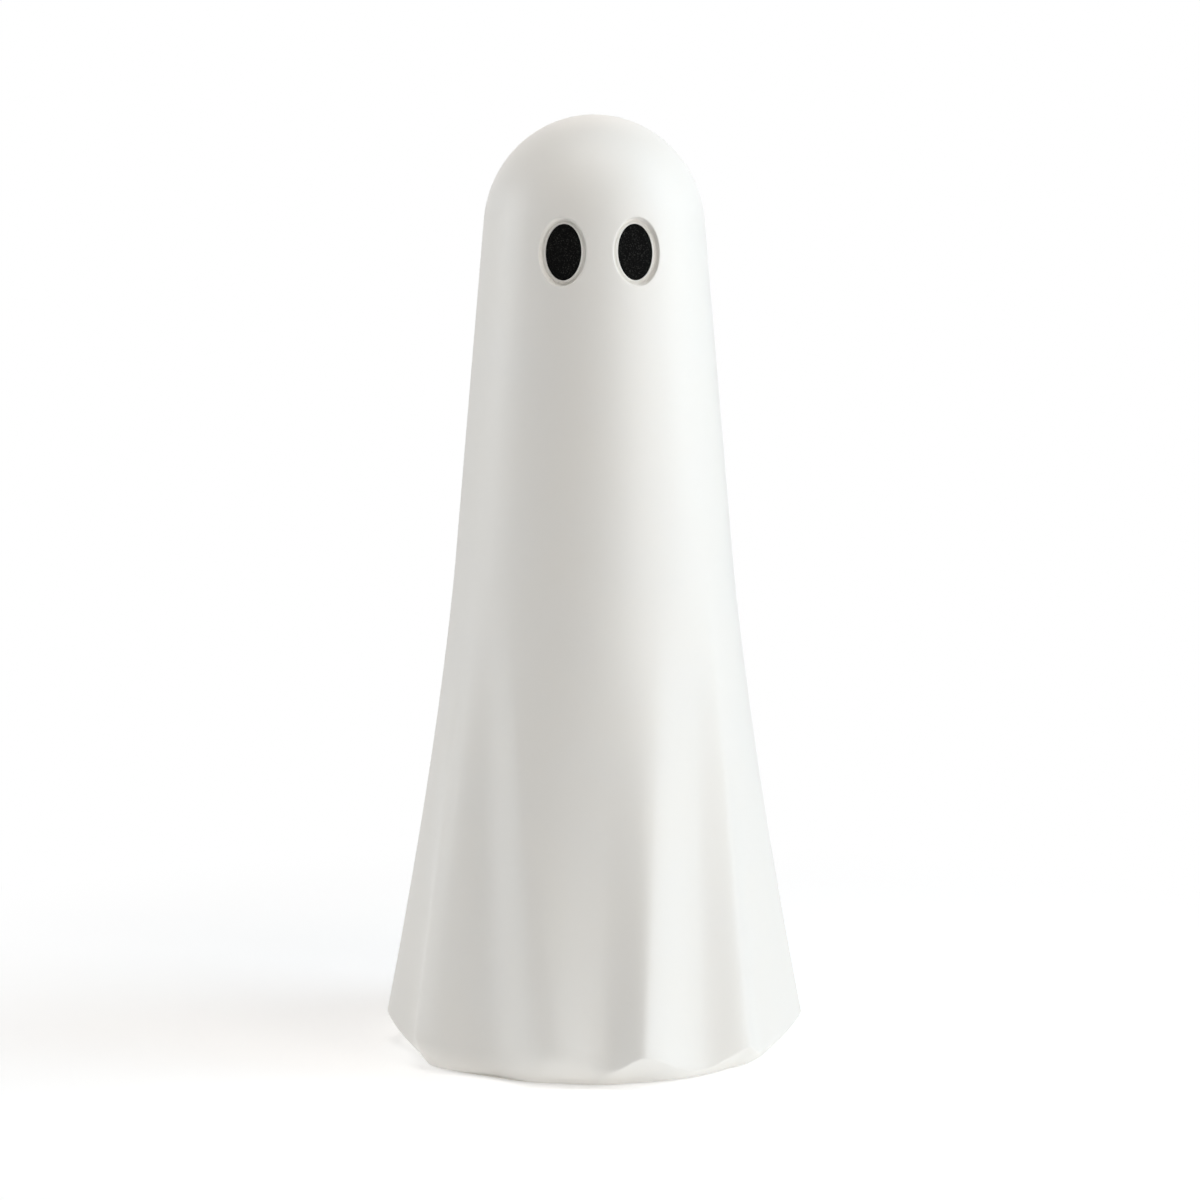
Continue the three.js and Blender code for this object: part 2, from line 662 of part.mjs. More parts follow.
function basePlate() {
  let plate = plateBosses();
  const opening = block(bayWidth, bayLength, frameTop, BAY_X, 0, bottomZ);
  const pinRoom = HINGE_PIN_LENGTH + GAP;
  const pins = barrel(HINGE_PIN_R + RUNNING, doorHalfW + pinRoom, ROD_STEPS).translate([BAY_X, 0, 0]);
  plate = plate.subtract(union([opening, doorRebate(), pins]));
  const doorHole = DOOR_SCREW.shankR + DOOR_SCREW_ROOM;
  plate = plate.subtract(rod(doorHole, DOOR_SCREW.length + GAP, BAY_X, doorScrewY, doorSeat, HOLE_STEPS));
  screwSpots.forEach(({ x, y }) => {
    const recess = BASE_SCREW.headR + GAP;
    plate = plate.subtract(rod(recess, baseSeat + THREAD_ROOM, x, y, 0));
    plate = plate.subtract(rod(BASE_SCREW.shankR + GAP, 2 * PLATE_T, x, y, bottomZ, HOLE_STEPS));
  });
  standoffSpots.forEach(({ x, y }) => {
    const start = boardZ + BOARD_T - SMALL_SCREW.length;
    plate = plate.subtract(rod(smallHole, SMALL_SCREW.length, x, y, start, HOLE_STEPS));
  });
  earSpots.forEach(({ x, y }) => {
    const start = earTop - SMALL_SCREW.length;
    plate = plate.subtract(rod(smallHole, SMALL_SCREW.length, x, y, start, HOLE_STEPS));
  });
  const well = block(FINGER_WELL.w, FINGER_WELL.l, 2 * FINGER_WELL.depth, boardX, 0,
    bottomZ - FINGER_WELL.depth);
  const slot = block(KNOB_W + 2 * SLOT_ROOM, KNOB_L + SLIDE_TRAVEL + 2 * SLOT_ROOM, 2 * PLATE_T,
    boardX, 0, bottomZ);
  return toGeometry(plate.subtract(well.add(slot)));
}

// Battery case

const earTop = caseZ + EAR_T;

function batteryCase() {
  const bodyH = caseTop - caseZ;
  const solids = [block(2 * caseHalfW, 2 * caseHalfL, bodyH, BAY_X, 0, caseZ)];
  earSpots.forEach(({ x, y }) => {
    const reach = frameHalfW - caseHalfW + CASE_WALL;
    const middle = BAY_X + Math.sign(x - BAY_X) * (frameHalfW - reach / 2);
    solids.push(block(reach, EAR_WIDTH, EAR_T, middle, y, caseZ));
  });
  ledPostSpots.forEach(({ x, y }) => {
    solids.push(rod(STANDOFF_R, LED_POST_H + CASE_WALL / 2, x, y, caseTop - CASE_WALL / 2));
  });
  let shell = union(solids);
  shell = shell.subtract(block(bayWidth, bayLength, ceilingZ - frameTop, BAY_X, 0, frameTop));
  earSpots.forEach(({ x, y }) => {
    shell = shell.subtract(rod(smallHole + THREAD_ROOM, 3 * EAR_T, x, y, caseZ - EAR_T, HOLE_STEPS));
  });
  ledPostSpots.forEach(({ x, y }) => {
    const depth = SMALL_SCREW.length;
    shell = shell.subtract(rod(smallHole, depth, x, y, ledBoardZ + BOARD_T - depth, HOLE_STEPS));
  });
  tabSpots.forEach(({ x, y }) => {
    const slot = block(TAB_W + 2 * GAP, CONTACT_T + 2 * GAP, 4 * CASE_WALL, x, y, ceilingZ - CASE_WALL);
    shell = shell.subtract(slot);
  });
  return toGeometry(shell);
}

// Cells and contacts

const cellX = (index) => BAY_X + (index - (CELLS - 1) / 2) * cellPitch;
const contactY = bayLength / 2 - GAP - CONTACT_T / 2;
const tabSpots = [v2(cellX(0), contactY), v2(cellX(CELLS - 1), -contactY)];

// A cell standing on its flat end, with the button up.
function cell() {
  const shoulder = CELL_R - CELL_EDGE;
  const top = CELL_LENGTH + BUTTON_H;
  return toGeometry(turned([
    [0, 0], [shoulder, 0], [CELL_R, CELL_EDGE], [CELL_R, CELL_LENGTH - CELL_EDGE],
    [shoulder, CELL_LENGTH], [BUTTON_R, CELL_LENGTH], [BUTTON_R, top], [0, top],
  ], ROUND_STEPS));
}

class ConeSpiral extends THREE.Curve {
  getPoint(t, target = new THREE.Vector3()) {
    const angle = 2 * Math.PI * SPRING_TURNS * t;
    const radius = THREE.MathUtils.lerp(SPRING_BASE_R, SPRING_TIP_R, t);
    const height = THREE.MathUtils.lerp(SPRING_WIRE / 4, SPRING_LENGTH - SPRING_WIRE / 2, t);
    return target.set(radius * Math.cos(angle), radius * Math.sin(angle), height);
  }
}

function tube(path, radius, sides, steps) {
  const section = new THREE.Shape();
  for (let i = 0; i < sides; i++) {
    const turn = (2 * Math.PI * i) / sides;
    if (i === 0) section.moveTo(radius, 0);
    else section.lineTo(radius * Math.cos(turn), radius * Math.sin(turn));
  }
  section.closePath();
  return new THREE.ExtrudeGeometry(section, { steps, extrudePath: path, bevelEnabled: false });
}

function spring() {
  const steps = Math.round(SPRING_TURNS * STEPS_PER_TURN);
  return toSolid(tube(new ConeSpiral(), SPRING_WIRE / 2, SPRING_SIDES, steps));
}

// A contact lies flat with its inner face up: springs and dimples stand on it.
function contact(width, springX, dimpleX, tabX) {
  const solids = [block(width, CONTACT_H, CONTACT_T, 0, 0, -CONTACT_T)];
  springX.forEach((x) => solids.push(spring().translate([x, 0, 0])));
  dimpleX.forEach((x) => {
    const root = -CONTACT_T / 2;
    const crown = DIMPLE_R - 2 * DIMPLE;
    const dome = [[0, root], [DIMPLE_R, root], [DIMPLE_R, 0], [crown, DIMPLE], [0, DIMPLE]];
    solids.push(turned(dome, ROD_STEPS).translate([x, 0, 0]));
  });
  tabX.forEach((x) => {
    const rise = caseTop + TAB_RISE - cellZ;
    solids.push(block(TAB_W, rise, CONTACT_T, x, rise / 2, -CONTACT_T));
  });
  return toGeometry(union(solids));
}

// Door

function batteryDoor() {
  const pins = barrel(HINGE_PIN_R, doorHalfW + HINGE_PIN_LENGTH, HOLE_STEPS);
  const door = union([doorOutline(0), barrel(HINGE_R, doorHalfW, ROD_STEPS), pins]);
  const head = rod(DOOR_SCREW.headR + GAP, doorSeat + THREAD_ROOM, 0, doorScrewY, 0);
  const hole = rod(DOOR_SCREW.shankR + THREAD_ROOM, 2 * DOOR_T, 0, doorScrewY, bottomZ);
  return toGeometry(door.subtract(head.add(hole)));
}

// Boards and switch

function controlBoard() {
  let board = block(BOARD_W, BOARD_L, BOARD_T);
  [-standoffY, standoffY].forEach((y) => {
    board = board.subtract(rod(smallHole + THREAD_ROOM, 3 * BOARD_T, 0, y, -BOARD_T, HOLE_STEPS));
  });
  return toGeometry(board);
}

function timerChip() {
  const solids = [block(CHIP.w, CHIP.l, CHIP.h - CHIP.lift, 0, 0, CHIP.lift)];
  for (let i = 0; i < CHIP.legs; i++) {
    const y = (i - (CHIP.legs - 1) / 2) * CHIP.pitch;
    const width = CHIP.w + 2 * CHIP.reach;
    solids.push(block(width, CHIP.legW, CHIP.legW, 0, y, CHIP.lift / 2));
  }
  return toGeometry(union(solids));
}

function capacitor() {
  const { r, h, edge, crimpZ, crimp } = CAPACITOR;
  const groove = [[r, crimpZ], [r - crimp, crimpZ + crimp], [r, crimpZ + 2 * crimp]];
  const profile = [[0, 0], [r, 0], ...groove, [r, h - edge], [r - edge, h], [0, h]];
  return toGeometry(turned(profile, ROUND_STEPS));
}

// The switch housing hangs below the board, open underneath where the knob comes out.
function switchBody() {
  const cavityW = SWITCH_W - 2 * SWITCH_WALL;
  const cavityL = CARRIAGE_L + SLIDE_TRAVEL + 2 * SLOT_ROOM;
  const cavityH = CARRIAGE_H + 2 * GLIDE;
  const window = KNOB_L + SLIDE_TRAVEL + 2 * SLOT_ROOM;
  const body = block(SWITCH_W, SWITCH_L, SWITCH_H);
  const cavity = block(cavityW, cavityL, cavityH, 0, 0, SWITCH_WALL);
  const mouth = block(KNOB_W + 2 * SLOT_ROOM, window, 2 * SWITCH_WALL, 0, 0, -SWITCH_WALL / 2);
  return toGeometry(body.subtract(cavity.add(mouth)));
}

// The slider at its middle position, with the origin on the housing's underside.
function switchSlider() {
  const carriageW = SWITCH_W - 2 * SWITCH_WALL - 2 * GLIDE;
  const drop = switchZ - bottomZ - KNOB_SINK;
  const carriage = block(carriageW, CARRIAGE_L, CARRIAGE_H, 0, 0, SWITCH_WALL + GLIDE);
  const knob = block(KNOB_W, KNOB_L, drop + SWITCH_WALL + 2 * GLIDE, 0, 0, -drop);
  return toGeometry(carriage.add(knob));
}

function ledBoard() {
  let board = rod(LED_BOARD_R, BOARD_T, 0, 0, 0, EYE_STEPS);
  ledPostSpots.forEach(({ x, y }) => {
    board = board.subtract(rod(smallHole + THREAD_ROOM, 3 * BOARD_T, x, y, -BOARD_T, HOLE_STEPS));
  });
  return toGeometry(board);
}

function led() {
  const profile = [[0, 0], [LED_RIM_R, 0], [LED_RIM_R, LED_RIM_H], [LED_R, LED_RIM_H], [LED_R, LED_H]];
  for (let i = 1; i < LED_DOME_STEPS; i++) {
    const climb = (Math.PI / 2) * (i / LED_DOME_STEPS);
    profile.push([LED_R * Math.cos(climb), LED_H + LED_R * Math.sin(climb)]);
  }
  profile.push([0, LED_H + LED_R]);
  return toGeometry(turned(profile, HOLE_STEPS));
}

// Leads, each along the route it takes from solder joint to solder joint.
const boardTop = boardZ + BOARD_T + GAP;
const ledBoardTop = ledBoardZ + BOARD_T + GAP;
const tabTop = caseTop + TAB_RISE + GAP;

// Over the end of the battery case and down to a corner of the control board.
function batteryRoute(tab, side) {
  const start = v3(tab.x, tab.y, tabTop);
  const joint = v3(boardX - BOARD_W / 2 + LEAD_INSET, side * (BOARD_L / 2 - LEAD_INSET), boardTop);
  const corner = v3(BAY_X + caseHalfW, side * caseHalfL, tabTop);
  const half = start.clone().lerp(corner, 0.5).setY(corner.y);
  return [
    start, start.clone().setZ(tabTop + LEAD_RISE), half.setZ(tabTop + LEAD_ARCH), corner,
    v3(joint.x - LEAD_RISE, joint.y + side * LEAD_SWING, boardTop + LEAD_DROP),
    joint.clone().setZ(boardTop + LEAD_RISE), joint,
  ];
}

// From the control board up past the edge of the LED board and down to it.
function ledRoute(side) {
  const start = v3(boardX - BOARD_W / 2 + LEAD_INSET, side * LED_LEAD_Y, boardTop);
  const joint = around(90 + side * LED_LEAD_ANGLE, LED_BOARD_R - LEAD_INSET, ledBoardTop);
  const above = ledBoardTop + LEAD_RISE;
  return [
    start, start.clone().setZ(boardTop + LEAD_RISE),
    v3(start.x - LEAD_INSET, start.y, boardTop + LED_LEAD_CLIMB),
    v3(LED_BOARD_R + LEAD_INSET, start.y, above), v3(joint.x + LEAD_RISE / 2, joint.y, above + LEAD_R),
    joint.clone().setZ(above), joint,
  ];
}

const LEAD_ROUTES = {
  battery_plus_lead: batteryRoute(tabSpots[0], 1),
  battery_minus_lead: batteryRoute(tabSpots[1], -1),
  led_plus_lead: ledRoute(1),
  led_minus_lead: ledRoute(-1),
};

function lead(route) {
  const path = new THREE.CatmullRomCurve3(route, false, 'centripetal');
  return toGeometry(toSolid(tube(path, LEAD_R, LEAD_SIDES, LEAD_STEPS)));
}

// Assembly

const ghost = new THREE.Group();

function place(parent, name, geometry, finish, x = 0, y = 0, z = 0) {
  const mesh = new THREE.Mesh(geometry, new THREE.MeshStandardMaterial(COLOURS[finish]));
  mesh.name = name;
  mesh.position.set(x, y, z);
  parent.add(mesh);
  return mesh;
}

function addShell() {
  place(ghost, 'body_shell', bodyShell(), 'shell');
  ['left_eye', 'right_eye'].forEach((name, i) => {
    const holder = new THREE.Group();
    holder.applyMatrix4(eyeFrame(i === 0 ? 1 : -1));
    place(holder, name, eyeInsert(), 'eye');
    ghost.add(holder);
  });
  padSpots.forEach(({ x, y }, i) => place(ghost, `foot_pad_${i + 1}`, footPad(), 'rubber', x, y, 0));
}

function addBase() {
  place(ghost, 'base_plate', basePlate(), 'plate');
  screwSpots.forEach(({ x, y }, i) => {
    place(ghost, `base_screw_${i + 1}`, screw(BASE_SCREW), 'steel', x, y, baseSeat);
  });
  place(ghost, 'battery_case', batteryCase(), 'case');
  place(ghost, 'battery_door', batteryDoor(), 'plate', BAY_X);
  place(ghost, 'door_screw', screw(DOOR_SCREW), 'steel', BAY_X, doorScrewY, doorSeat);
}

// Screws driven from above hang head up in a group turned over about X.
function addScrewFromAbove(name, x, y, z) {
  const turnedOver = new THREE.Group();
  turnedOver.position.set(x, y, z + THREAD_ROOM);
  turnedOver.rotation.x = Math.PI;
  place(turnedOver, name, screw(SMALL_SCREW), 'steel');
  ghost.add(turnedOver);
}

function addCells() {
  const buttonY = bayLength / 2 - contactRoom - DIMPLE - GAP;
  for (let i = 0; i < CELLS; i++) {
    const side = i % 2 === 0 ? 1 : -1;
    const lying = new THREE.Group();
    lying.position.set(cellX(i), side * (buttonY - BUTTON_H - CELL_LENGTH), cellZ);
    lying.rotation.x = -side * (Math.PI / 2);
    place(lying, `battery_cell_${i + 1}`, cell(), 'cell');
    ghost.add(lying);
  }
}

// Contacts stand against the case's end walls. Local y is up and local z points into the bay.
function addContact(name, x, side, geometry) {
  const wall = new THREE.Group();
  wall.position.set(x, side * (bayLength / 2 - contactRoom), cellZ);
  const inward = v3(0, -side, 0);
  const upward = v3(0, 0, 1);
  const across = new THREE.Vector3().crossVectors(upward, inward);
  wall.quaternion.setFromRotationMatrix(new THREE.Matrix4().makeBasis(across, upward, inward));
  place(wall, name, geometry, 'nickel');
  ghost.add(wall);
}

function addContacts() {
  const half = cellPitch / 2;
  const linkW = CONTACT_W + cellPitch;
  addContact('contact_positive', cellX(0), 1, contact(CONTACT_W, [], [0], [0]));
  addContact('contact_negative', cellX(2), -1, contact(CONTACT_W, [0], [], [0]));
  addContact('contact_link_1', cellX(0) + half, -1, contact(linkW, [half], [-half], []));
  addContact('contact_link_2', cellX(1) + half, 1, contact(linkW, [-half], [half], []));
}

function addElectronics() {
  place(ghost, 'control_board', controlBoard(), 'board', boardX, 0, boardZ);
  place(ghost, 'timer_chip', timerChip(), 'chip', boardX, CHIP.y, boardZ + BOARD_T + GAP);
  place(ghost, 'capacitor', capacitor(), 'case', boardX, CAPACITOR.y, boardZ + BOARD_T + GAP);
  place(ghost, 'switch_body', switchBody(), 'case', boardX, 0, switchZ);
  place(ghost, 'switch_slider', switchSlider(), 'plate', boardX, -SLIDE_TRAVEL / 2, switchZ);
  place(ghost, 'led_board', ledBoard(), 'board', 0, 0, ledBoardZ);
  spots(LEDS, LED_RING, 180 / LEDS).forEach(({ x, y }, i) => {
    place(ghost, `led_${i + 1}`, led(), 'led', x, y, ledBoardTop);
  });
  Object.entries(LEAD_ROUTES).forEach(([name, route]) => {
    place(ghost, name, lead(route), name.includes('plus') ? 'redLead' : 'blackLead');
  });
}

function addSmallScrews() {
  earSpots.forEach(({ x, y }, i) => addScrewFromAbove(`case_screw_${i + 1}`, x, y, earTop));
  standoffSpots.forEach(({ x, y }, i) => {
    addScrewFromAbove(`board_screw_${i + 1}`, x, y, boardZ + BOARD_T);
  });
  ledPostSpots.forEach(({ x, y }, i) => {
    addScrewFromAbove(`led_board_screw_${i + 1}`, x, y, ledBoardZ + BOARD_T);
  });
}

addShell();
addBase();
addCells();
addContacts();
addElectronics();
addSmallScrews();

export default ghost;
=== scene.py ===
# %% [markdown]
# # A standing ghost decoration
# The object is a hollow white plastic ghost, 508 mm tall, like a sheet draped over a dome. Two
# black speckled ovals are its eyes. A plate closes it underneath, with a battery door, a switch
# and four rubber pads, and behind the plate are the cells, two boards and four LEDs.
#
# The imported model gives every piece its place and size. This lesson keeps those, models the
# pieces again with finer surfaces, and gives each a finish made from nodes.

# %% Load the frame
import functools
import json
import math

import bmesh
import bpy
from mathutils import Matrix, Vector


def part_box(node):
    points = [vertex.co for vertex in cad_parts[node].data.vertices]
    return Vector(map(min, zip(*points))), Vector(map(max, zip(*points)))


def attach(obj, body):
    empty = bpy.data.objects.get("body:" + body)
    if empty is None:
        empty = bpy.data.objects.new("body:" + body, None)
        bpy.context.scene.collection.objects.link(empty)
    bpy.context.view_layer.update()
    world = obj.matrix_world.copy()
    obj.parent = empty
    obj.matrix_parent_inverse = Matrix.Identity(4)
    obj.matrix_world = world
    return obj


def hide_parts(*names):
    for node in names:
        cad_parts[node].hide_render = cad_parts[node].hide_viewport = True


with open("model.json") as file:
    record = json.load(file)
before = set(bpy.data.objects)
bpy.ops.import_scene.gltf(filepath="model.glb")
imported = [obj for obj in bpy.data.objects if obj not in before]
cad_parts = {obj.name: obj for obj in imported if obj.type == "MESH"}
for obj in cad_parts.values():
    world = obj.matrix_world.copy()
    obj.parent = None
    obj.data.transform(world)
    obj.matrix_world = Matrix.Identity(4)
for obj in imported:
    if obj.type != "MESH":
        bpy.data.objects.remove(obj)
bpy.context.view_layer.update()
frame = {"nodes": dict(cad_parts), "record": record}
nodes = frame["nodes"]

# %% [markdown]
# ## Camera
# The photograph is taken with a long lens from a little above, so the sides look nearly parallel
# and the hem shows as a shallow curve. The camera stands 2.1 m away. It goes 3 degrees round the
# object, because the face is turned that much towards the viewer's right.

# %% Camera
CAMERA_TURN = math.radians(-3)  # round the object from the face, towards its right hand
CAMERA_AWAY = 2.1
CAMERA_HEIGHT = 0.545
CAMERA_ASIDE = 0.00316  # the object stands slightly left of the picture's middle
CAMERA_PITCH = math.radians(8.1095)
LENS = 116.96
VIEW_END = 50  # metres, past the far edge of the floor


def add_object(name, data):
    """A new object in the scene."""
    made = bpy.data.objects.new(name, data)
    bpy.context.scene.collection.objects.link(made)
    return made


camera = add_object("camera", bpy.data.cameras.new("camera"))
bpy.context.scene.camera = camera
camera.data.lens = LENS
camera.data.clip_end = VIEW_END
looking = Vector((-math.sin(CAMERA_TURN), math.cos(CAMERA_TURN), 0))
aside = Vector((looking.y, -looking.x, 0))
camera.location = aside * CAMERA_ASIDE - looking * CAMERA_AWAY + Vector((0, 0, CAMERA_HEIGHT))
view_line = looking * math.cos(CAMERA_PITCH) - Vector((0, 0, math.sin(CAMERA_PITCH)))
camera.rotation_euler = view_line.to_track_quat("-Z", "Y").to_euler()
print("camera at", [round(c, 3) for c in camera.location])

# %% [markdown]
# ## Floor, background and light
# The object stands on white acrylic that is lit from below too, as product photographers use it:
# the floor glows a little, fills the underside of every fold with light, and keeps only a faint
# shadow to the left. In Blender it is a large matt white plane with a glow of its own. Further
# out it becomes an even white for the camera, which runs into the background without a line. The
# light is a set of soft boxes: a broad one overhead, three on the right that are strong and cool,
# one on the left and a faint one behind. The step in strength between right and left is what
# shades the folds. The background is white where the camera or a reflection meets it, and sheds
# no other light.

# %% Nodes in a few words
WHITE = (1, 1, 1, 1)


def from_hex(text):
    """An sRGB hex colour as the linear colour that a socket takes."""
    channels = [int(text[i:i + 2], 16) / 255 for i in (0, 2, 4)]
    return (*[c / 12.92 if c <= 0.04045 else ((c + 0.055) / 1.055) ** 2.4 for c in channels], 1)


def add_node(tree, kind, inputs=(), **settings):
    """Add a shader node, set its properties, and fill its inputs with values or other outputs."""
    node = tree.nodes.new("ShaderNode" + kind)
    for name, value in settings.items():
        setattr(node, name, value)
    for name, value in dict(inputs).items():
        if isinstance(value, bpy.types.NodeSocket):
            tree.links.new(value, node.inputs[name])
        else:
            node.inputs[name].default_value = value
    return node


def empty_tree(owner):
    """The node tree of a material or world, cleared."""
    owner.use_nodes = True
    owner.node_tree.nodes.clear()
    return owner.node_tree


# %% Floor
FLOOR_SIZE = 40
FLOOR_ASIDE = Matrix.Translation((5, 0, 0))  # keeps the seam of its two triangles off the figure
FLOOR_WHITE = (0.98, 0.98, 0.98, 1)
FLOOR_GLOW = 0.21  # the light that the floor itself gives off
SHOWN_GLOW = 0.12  # what is added for the camera, so that the floor is white outside the shadow
EVEN_FROM, EVEN_TO = 0.25, 0.55  # metres from the object over which the floor becomes even white


def make_floor():
    """A large sheet, clear from below, that is no part of the figure."""
    bm = bmesh.new()
    bmesh.ops.create_grid(bm, x_segments=1, y_segments=1, size=FLOOR_SIZE / 2, matrix=FLOOR_ASIDE)
    mesh = bpy.data.meshes.new("floor")
    bm.to_mesh(mesh)
    bm.free()
    add_object("floor", mesh)
    sheet = bpy.data.materials.new("lit_acrylic_sheet")
    tree = empty_tree(sheet)
    matt = add_node(tree, "BsdfDiffuse", {"Color": FLOOR_WHITE})
    rays = add_node(tree, "LightPath")
    seen = rays.outputs["Is Camera Ray"]
    strength = add_node(tree, "Math", {0: seen, 1: SHOWN_GLOW, 2: FLOOR_GLOW},
                        operation="MULTIPLY_ADD").outputs[0]
    glow = add_node(tree, "Emission", {"Color": WHITE, "Strength": strength})
    lit = add_node(tree, "AddShader", {0: matt.outputs[0], 1: glow.outputs[0]})
    place = add_node(tree, "TexCoord").outputs["Object"]
    away = add_node(tree, "VectorMath", {0: place}, operation="LENGTH").outputs["Value"]
    far = add_node(tree, "MapRange", {"Value": away, "From Min": EVEN_FROM, "From Max": EVEN_TO},
                   interpolation_type="SMOOTHSTEP").outputs[0]
    even = add_node(tree, "Math", {0: far, 1: seen}, operation="MULTIPLY").outputs[0]
    white = add_node(tree, "Emission", {"Color": WHITE, "Strength": 1.0})
    upper = add_node(tree, "MixShader", {0: even, 1: lit.outputs[0], 2: white.outputs[0]})
    clear = add_node(tree, "BsdfTransparent")
    below = add_node(tree, "NewGeometry").outputs["Backfacing"]
    sides = add_node(tree, "MixShader", {0: below, 1: upper.outputs[0], 2: clear.outputs[0]})
    add_node(tree, "OutputMaterial", {"Surface": sides.outputs[0]})
    mesh.materials.append(sheet)
    print("floor", FLOOR_SIZE, "m wide in", len(mesh.polygons), "face")


make_floor()

# %% World and lamps
# Each soft box: degrees round the object from the camera's line of sight towards its right,
# degrees up, watts, width in metres and tint.
LAMPS = {
    "top": (0, 80, 13.2, 1.2, "fffcf8"),
    "right_front": (45, 15, 9.2, 0.9, "fffaf4"),
    "right": (85, 15, 9.4, 0.9, "ecf6ff"),
    "right_high": (85, 45, 7.2, 0.9, "d8efff"),
    "left": (-95, 15, 12.1, 0.9, "fcfeff"),
    "back": (180, 45, 2.5, 0.9, "ffe6d4"),
}
LAMP_AWAY = 1.8
TARGET = Vector((0, 0, 0.24))  # the middle of the figure


def make_world():
    """White where a ray of the camera, a reflection or a clear piece meets it, else dark."""
    world = bpy.data.worlds.new("studio")
    bpy.context.scene.world = world
    tree = empty_tree(world)
    rays = add_node(tree, "LightPath")
    shown = rays.outputs["Is Camera Ray"]
    for kind in ("Is Glossy Ray", "Is Transmission Ray"):
        either = add_node(tree, "Math", {0: shown, 1: rays.outputs[kind]}, operation="MAXIMUM")
        shown = either.outputs[0]
    white = add_node(tree, "Background", {"Color": WHITE, "Strength": shown})
    add_node(tree, "OutputWorld", {"Surface": white.outputs[0]})


def add_lamp(name, side, up, power, size, tint):
    """A soft box that looks at the middle of the figure."""
    turn, climb = math.radians(side) + CAMERA_TURN, math.radians(up)
    level = math.cos(climb)
    back = Vector((math.sin(turn) * level, -math.cos(turn) * level, math.sin(climb)))
    lamp = add_object(name, bpy.data.lights.new(name, "AREA"))
    lamp.data.size, lamp.data.energy = size, power
    lamp.data.color = from_hex(tint)[:3]
    lamp.location = TARGET + back * LAMP_AWAY
    lamp.rotation_euler = (-back).to_track_quat("-Z", "Y").to_euler()


make_world()
for name, settings in LAMPS.items():
    add_lamp(name, *settings)
bpy.context.scene.view_settings.view_transform = "Standard"
print("lamps:", ", ".join(LAMPS))

# %% [markdown]
# ## The draped outline
# A cloth over a dome hangs almost straight at first and swings out below the waist. There it
# falls in folds, sharp ridges with wide soft hollows between them, which deepen towards the
# hem. The folds are uneven, but each follows the same rule. Two formulas, one for the flared
# outline and one for the depth of each fold, give any point of the surface from its angle and
# height. Angles are counted from the face towards the figure's left hand.

# %% Sizes of the outline, in millimetres
MM = 0.001
HEIGHT = 508
BOTTOM = 0.8  # the shell's underside, above the ground on its pads
DOME_HALF_WIDTH, DOME_RISE, DOME_JOIN = 59.4, 61, 5.5
TAPER = 0.0875  # how much the radius grows down the sides, per millimetre
FLARE, FLARE_TOP, FLARE_POWER = 17.1, 270, 1.65  # growth at the hem, where it starts, its bend
HEM, CREST_TOP, FADE = 17, 170, 1.3  # mean height of the hem, end of the crests, how folds fade
CREST_ROUND = 0.12  # of a fold's depth
WALL = 2.8
DOME_Z = HEIGHT - DOME_RISE
JOIN_Z = DOME_Z + DOME_JOIN
JOIN_R = DOME_HALF_WIDTH * math.sqrt(1 - (DOME_JOIN / DOME_RISE) ** 2)

# Each fold: ridge angle at the hem, how far it turns round the body per 100 mm up, how far its
# crest lies in at the hem, the base's radius below it, the same two for the hollow after it, the
# height where the hollow ends, the place of its deepest line between the ridges, and how narrow
# it is before and after that line.
FOLDS = (
    (-93, 0, 0, 97.5, 12, 99, 240, 0.5, 1.2, 1.2),
    (-59.5, -2, 0, 104.5, 15, 98, 260, 0.55, 2.2, 1.6),
    (-15, -9, 4.5, 96, 9.5, 97, 235, 0.58, 1.2, 1.4),
    (10.2, 5, 0, 95.3, 14.5, 96, 270, 0.6, 1.3, 1.15),
    (46, 2.5, 4.8, 95, 11, 97.6, 205, 0.3, 1, 1),
    (84, 0, 0, 97, 11, 98, 180, 0.5, 1.2, 1.4),
    (111, 1, 1, 97, 13, 99, 210, 0.55, 1.2, 1.6),
    (142, -2, 0, 96, 12, 98, 190, 0.45, 1.4, 1.2),
    (174, 2, 2, 96, 15, 98, 215, 0.6, 1.1, 1.8),
    (205, -1, 0, 96, 12, 98, 175, 0.5, 1.3, 1.3),
    (236, 2, 1, 97, 13, 99, 205, 0.45, 1.6, 1.2),
)


def mix(a, b, share):
    return a + (b - a) * share


def around(angle, radius, height):
    """The point at an angle from the face, a radius and a height, all in millimetres."""
    turn = math.radians(angle)
    return Vector((radius * math.sin(turn), -radius * math.cos(turn), height)) * MM


def outline(z):
    """Radius without folds."""
    if z > JOIN_Z:
        return DOME_HALF_WIDTH * math.sqrt(max(0, 1 - ((z - DOME_Z) / DOME_RISE) ** 2))
    below = max(0, FLARE_TOP - z) / (FLARE_TOP - HEM)
    return JOIN_R + TAPER * (JOIN_Z - z) + FLARE * below ** FLARE_POWER


def inner_outline(z):
    """Radius of the inside of the wall, where there are no folds."""
    if z > JOIN_Z:
        rise = min(1, (z - DOME_Z) / (DOME_RISE - WALL))
        return (DOME_HALF_WIDTH - WALL) * math.sqrt(1 - rise ** 2)
    return outline(z) - WALL


print("radius below the dome, at the waist and at the hem:",
      [round(outline(z), 1) for z in (JOIN_Z, FLARE_TOP, HEM)])

# %% Depth of the folds
PRECISION = 0.001  # millimetres to which a height is searched
HEM_BELOW = 3 * HEM  # the hem is nowhere as high as this
ROUNDING = 1e-9  # how far an angle may be off through the computer's rounding


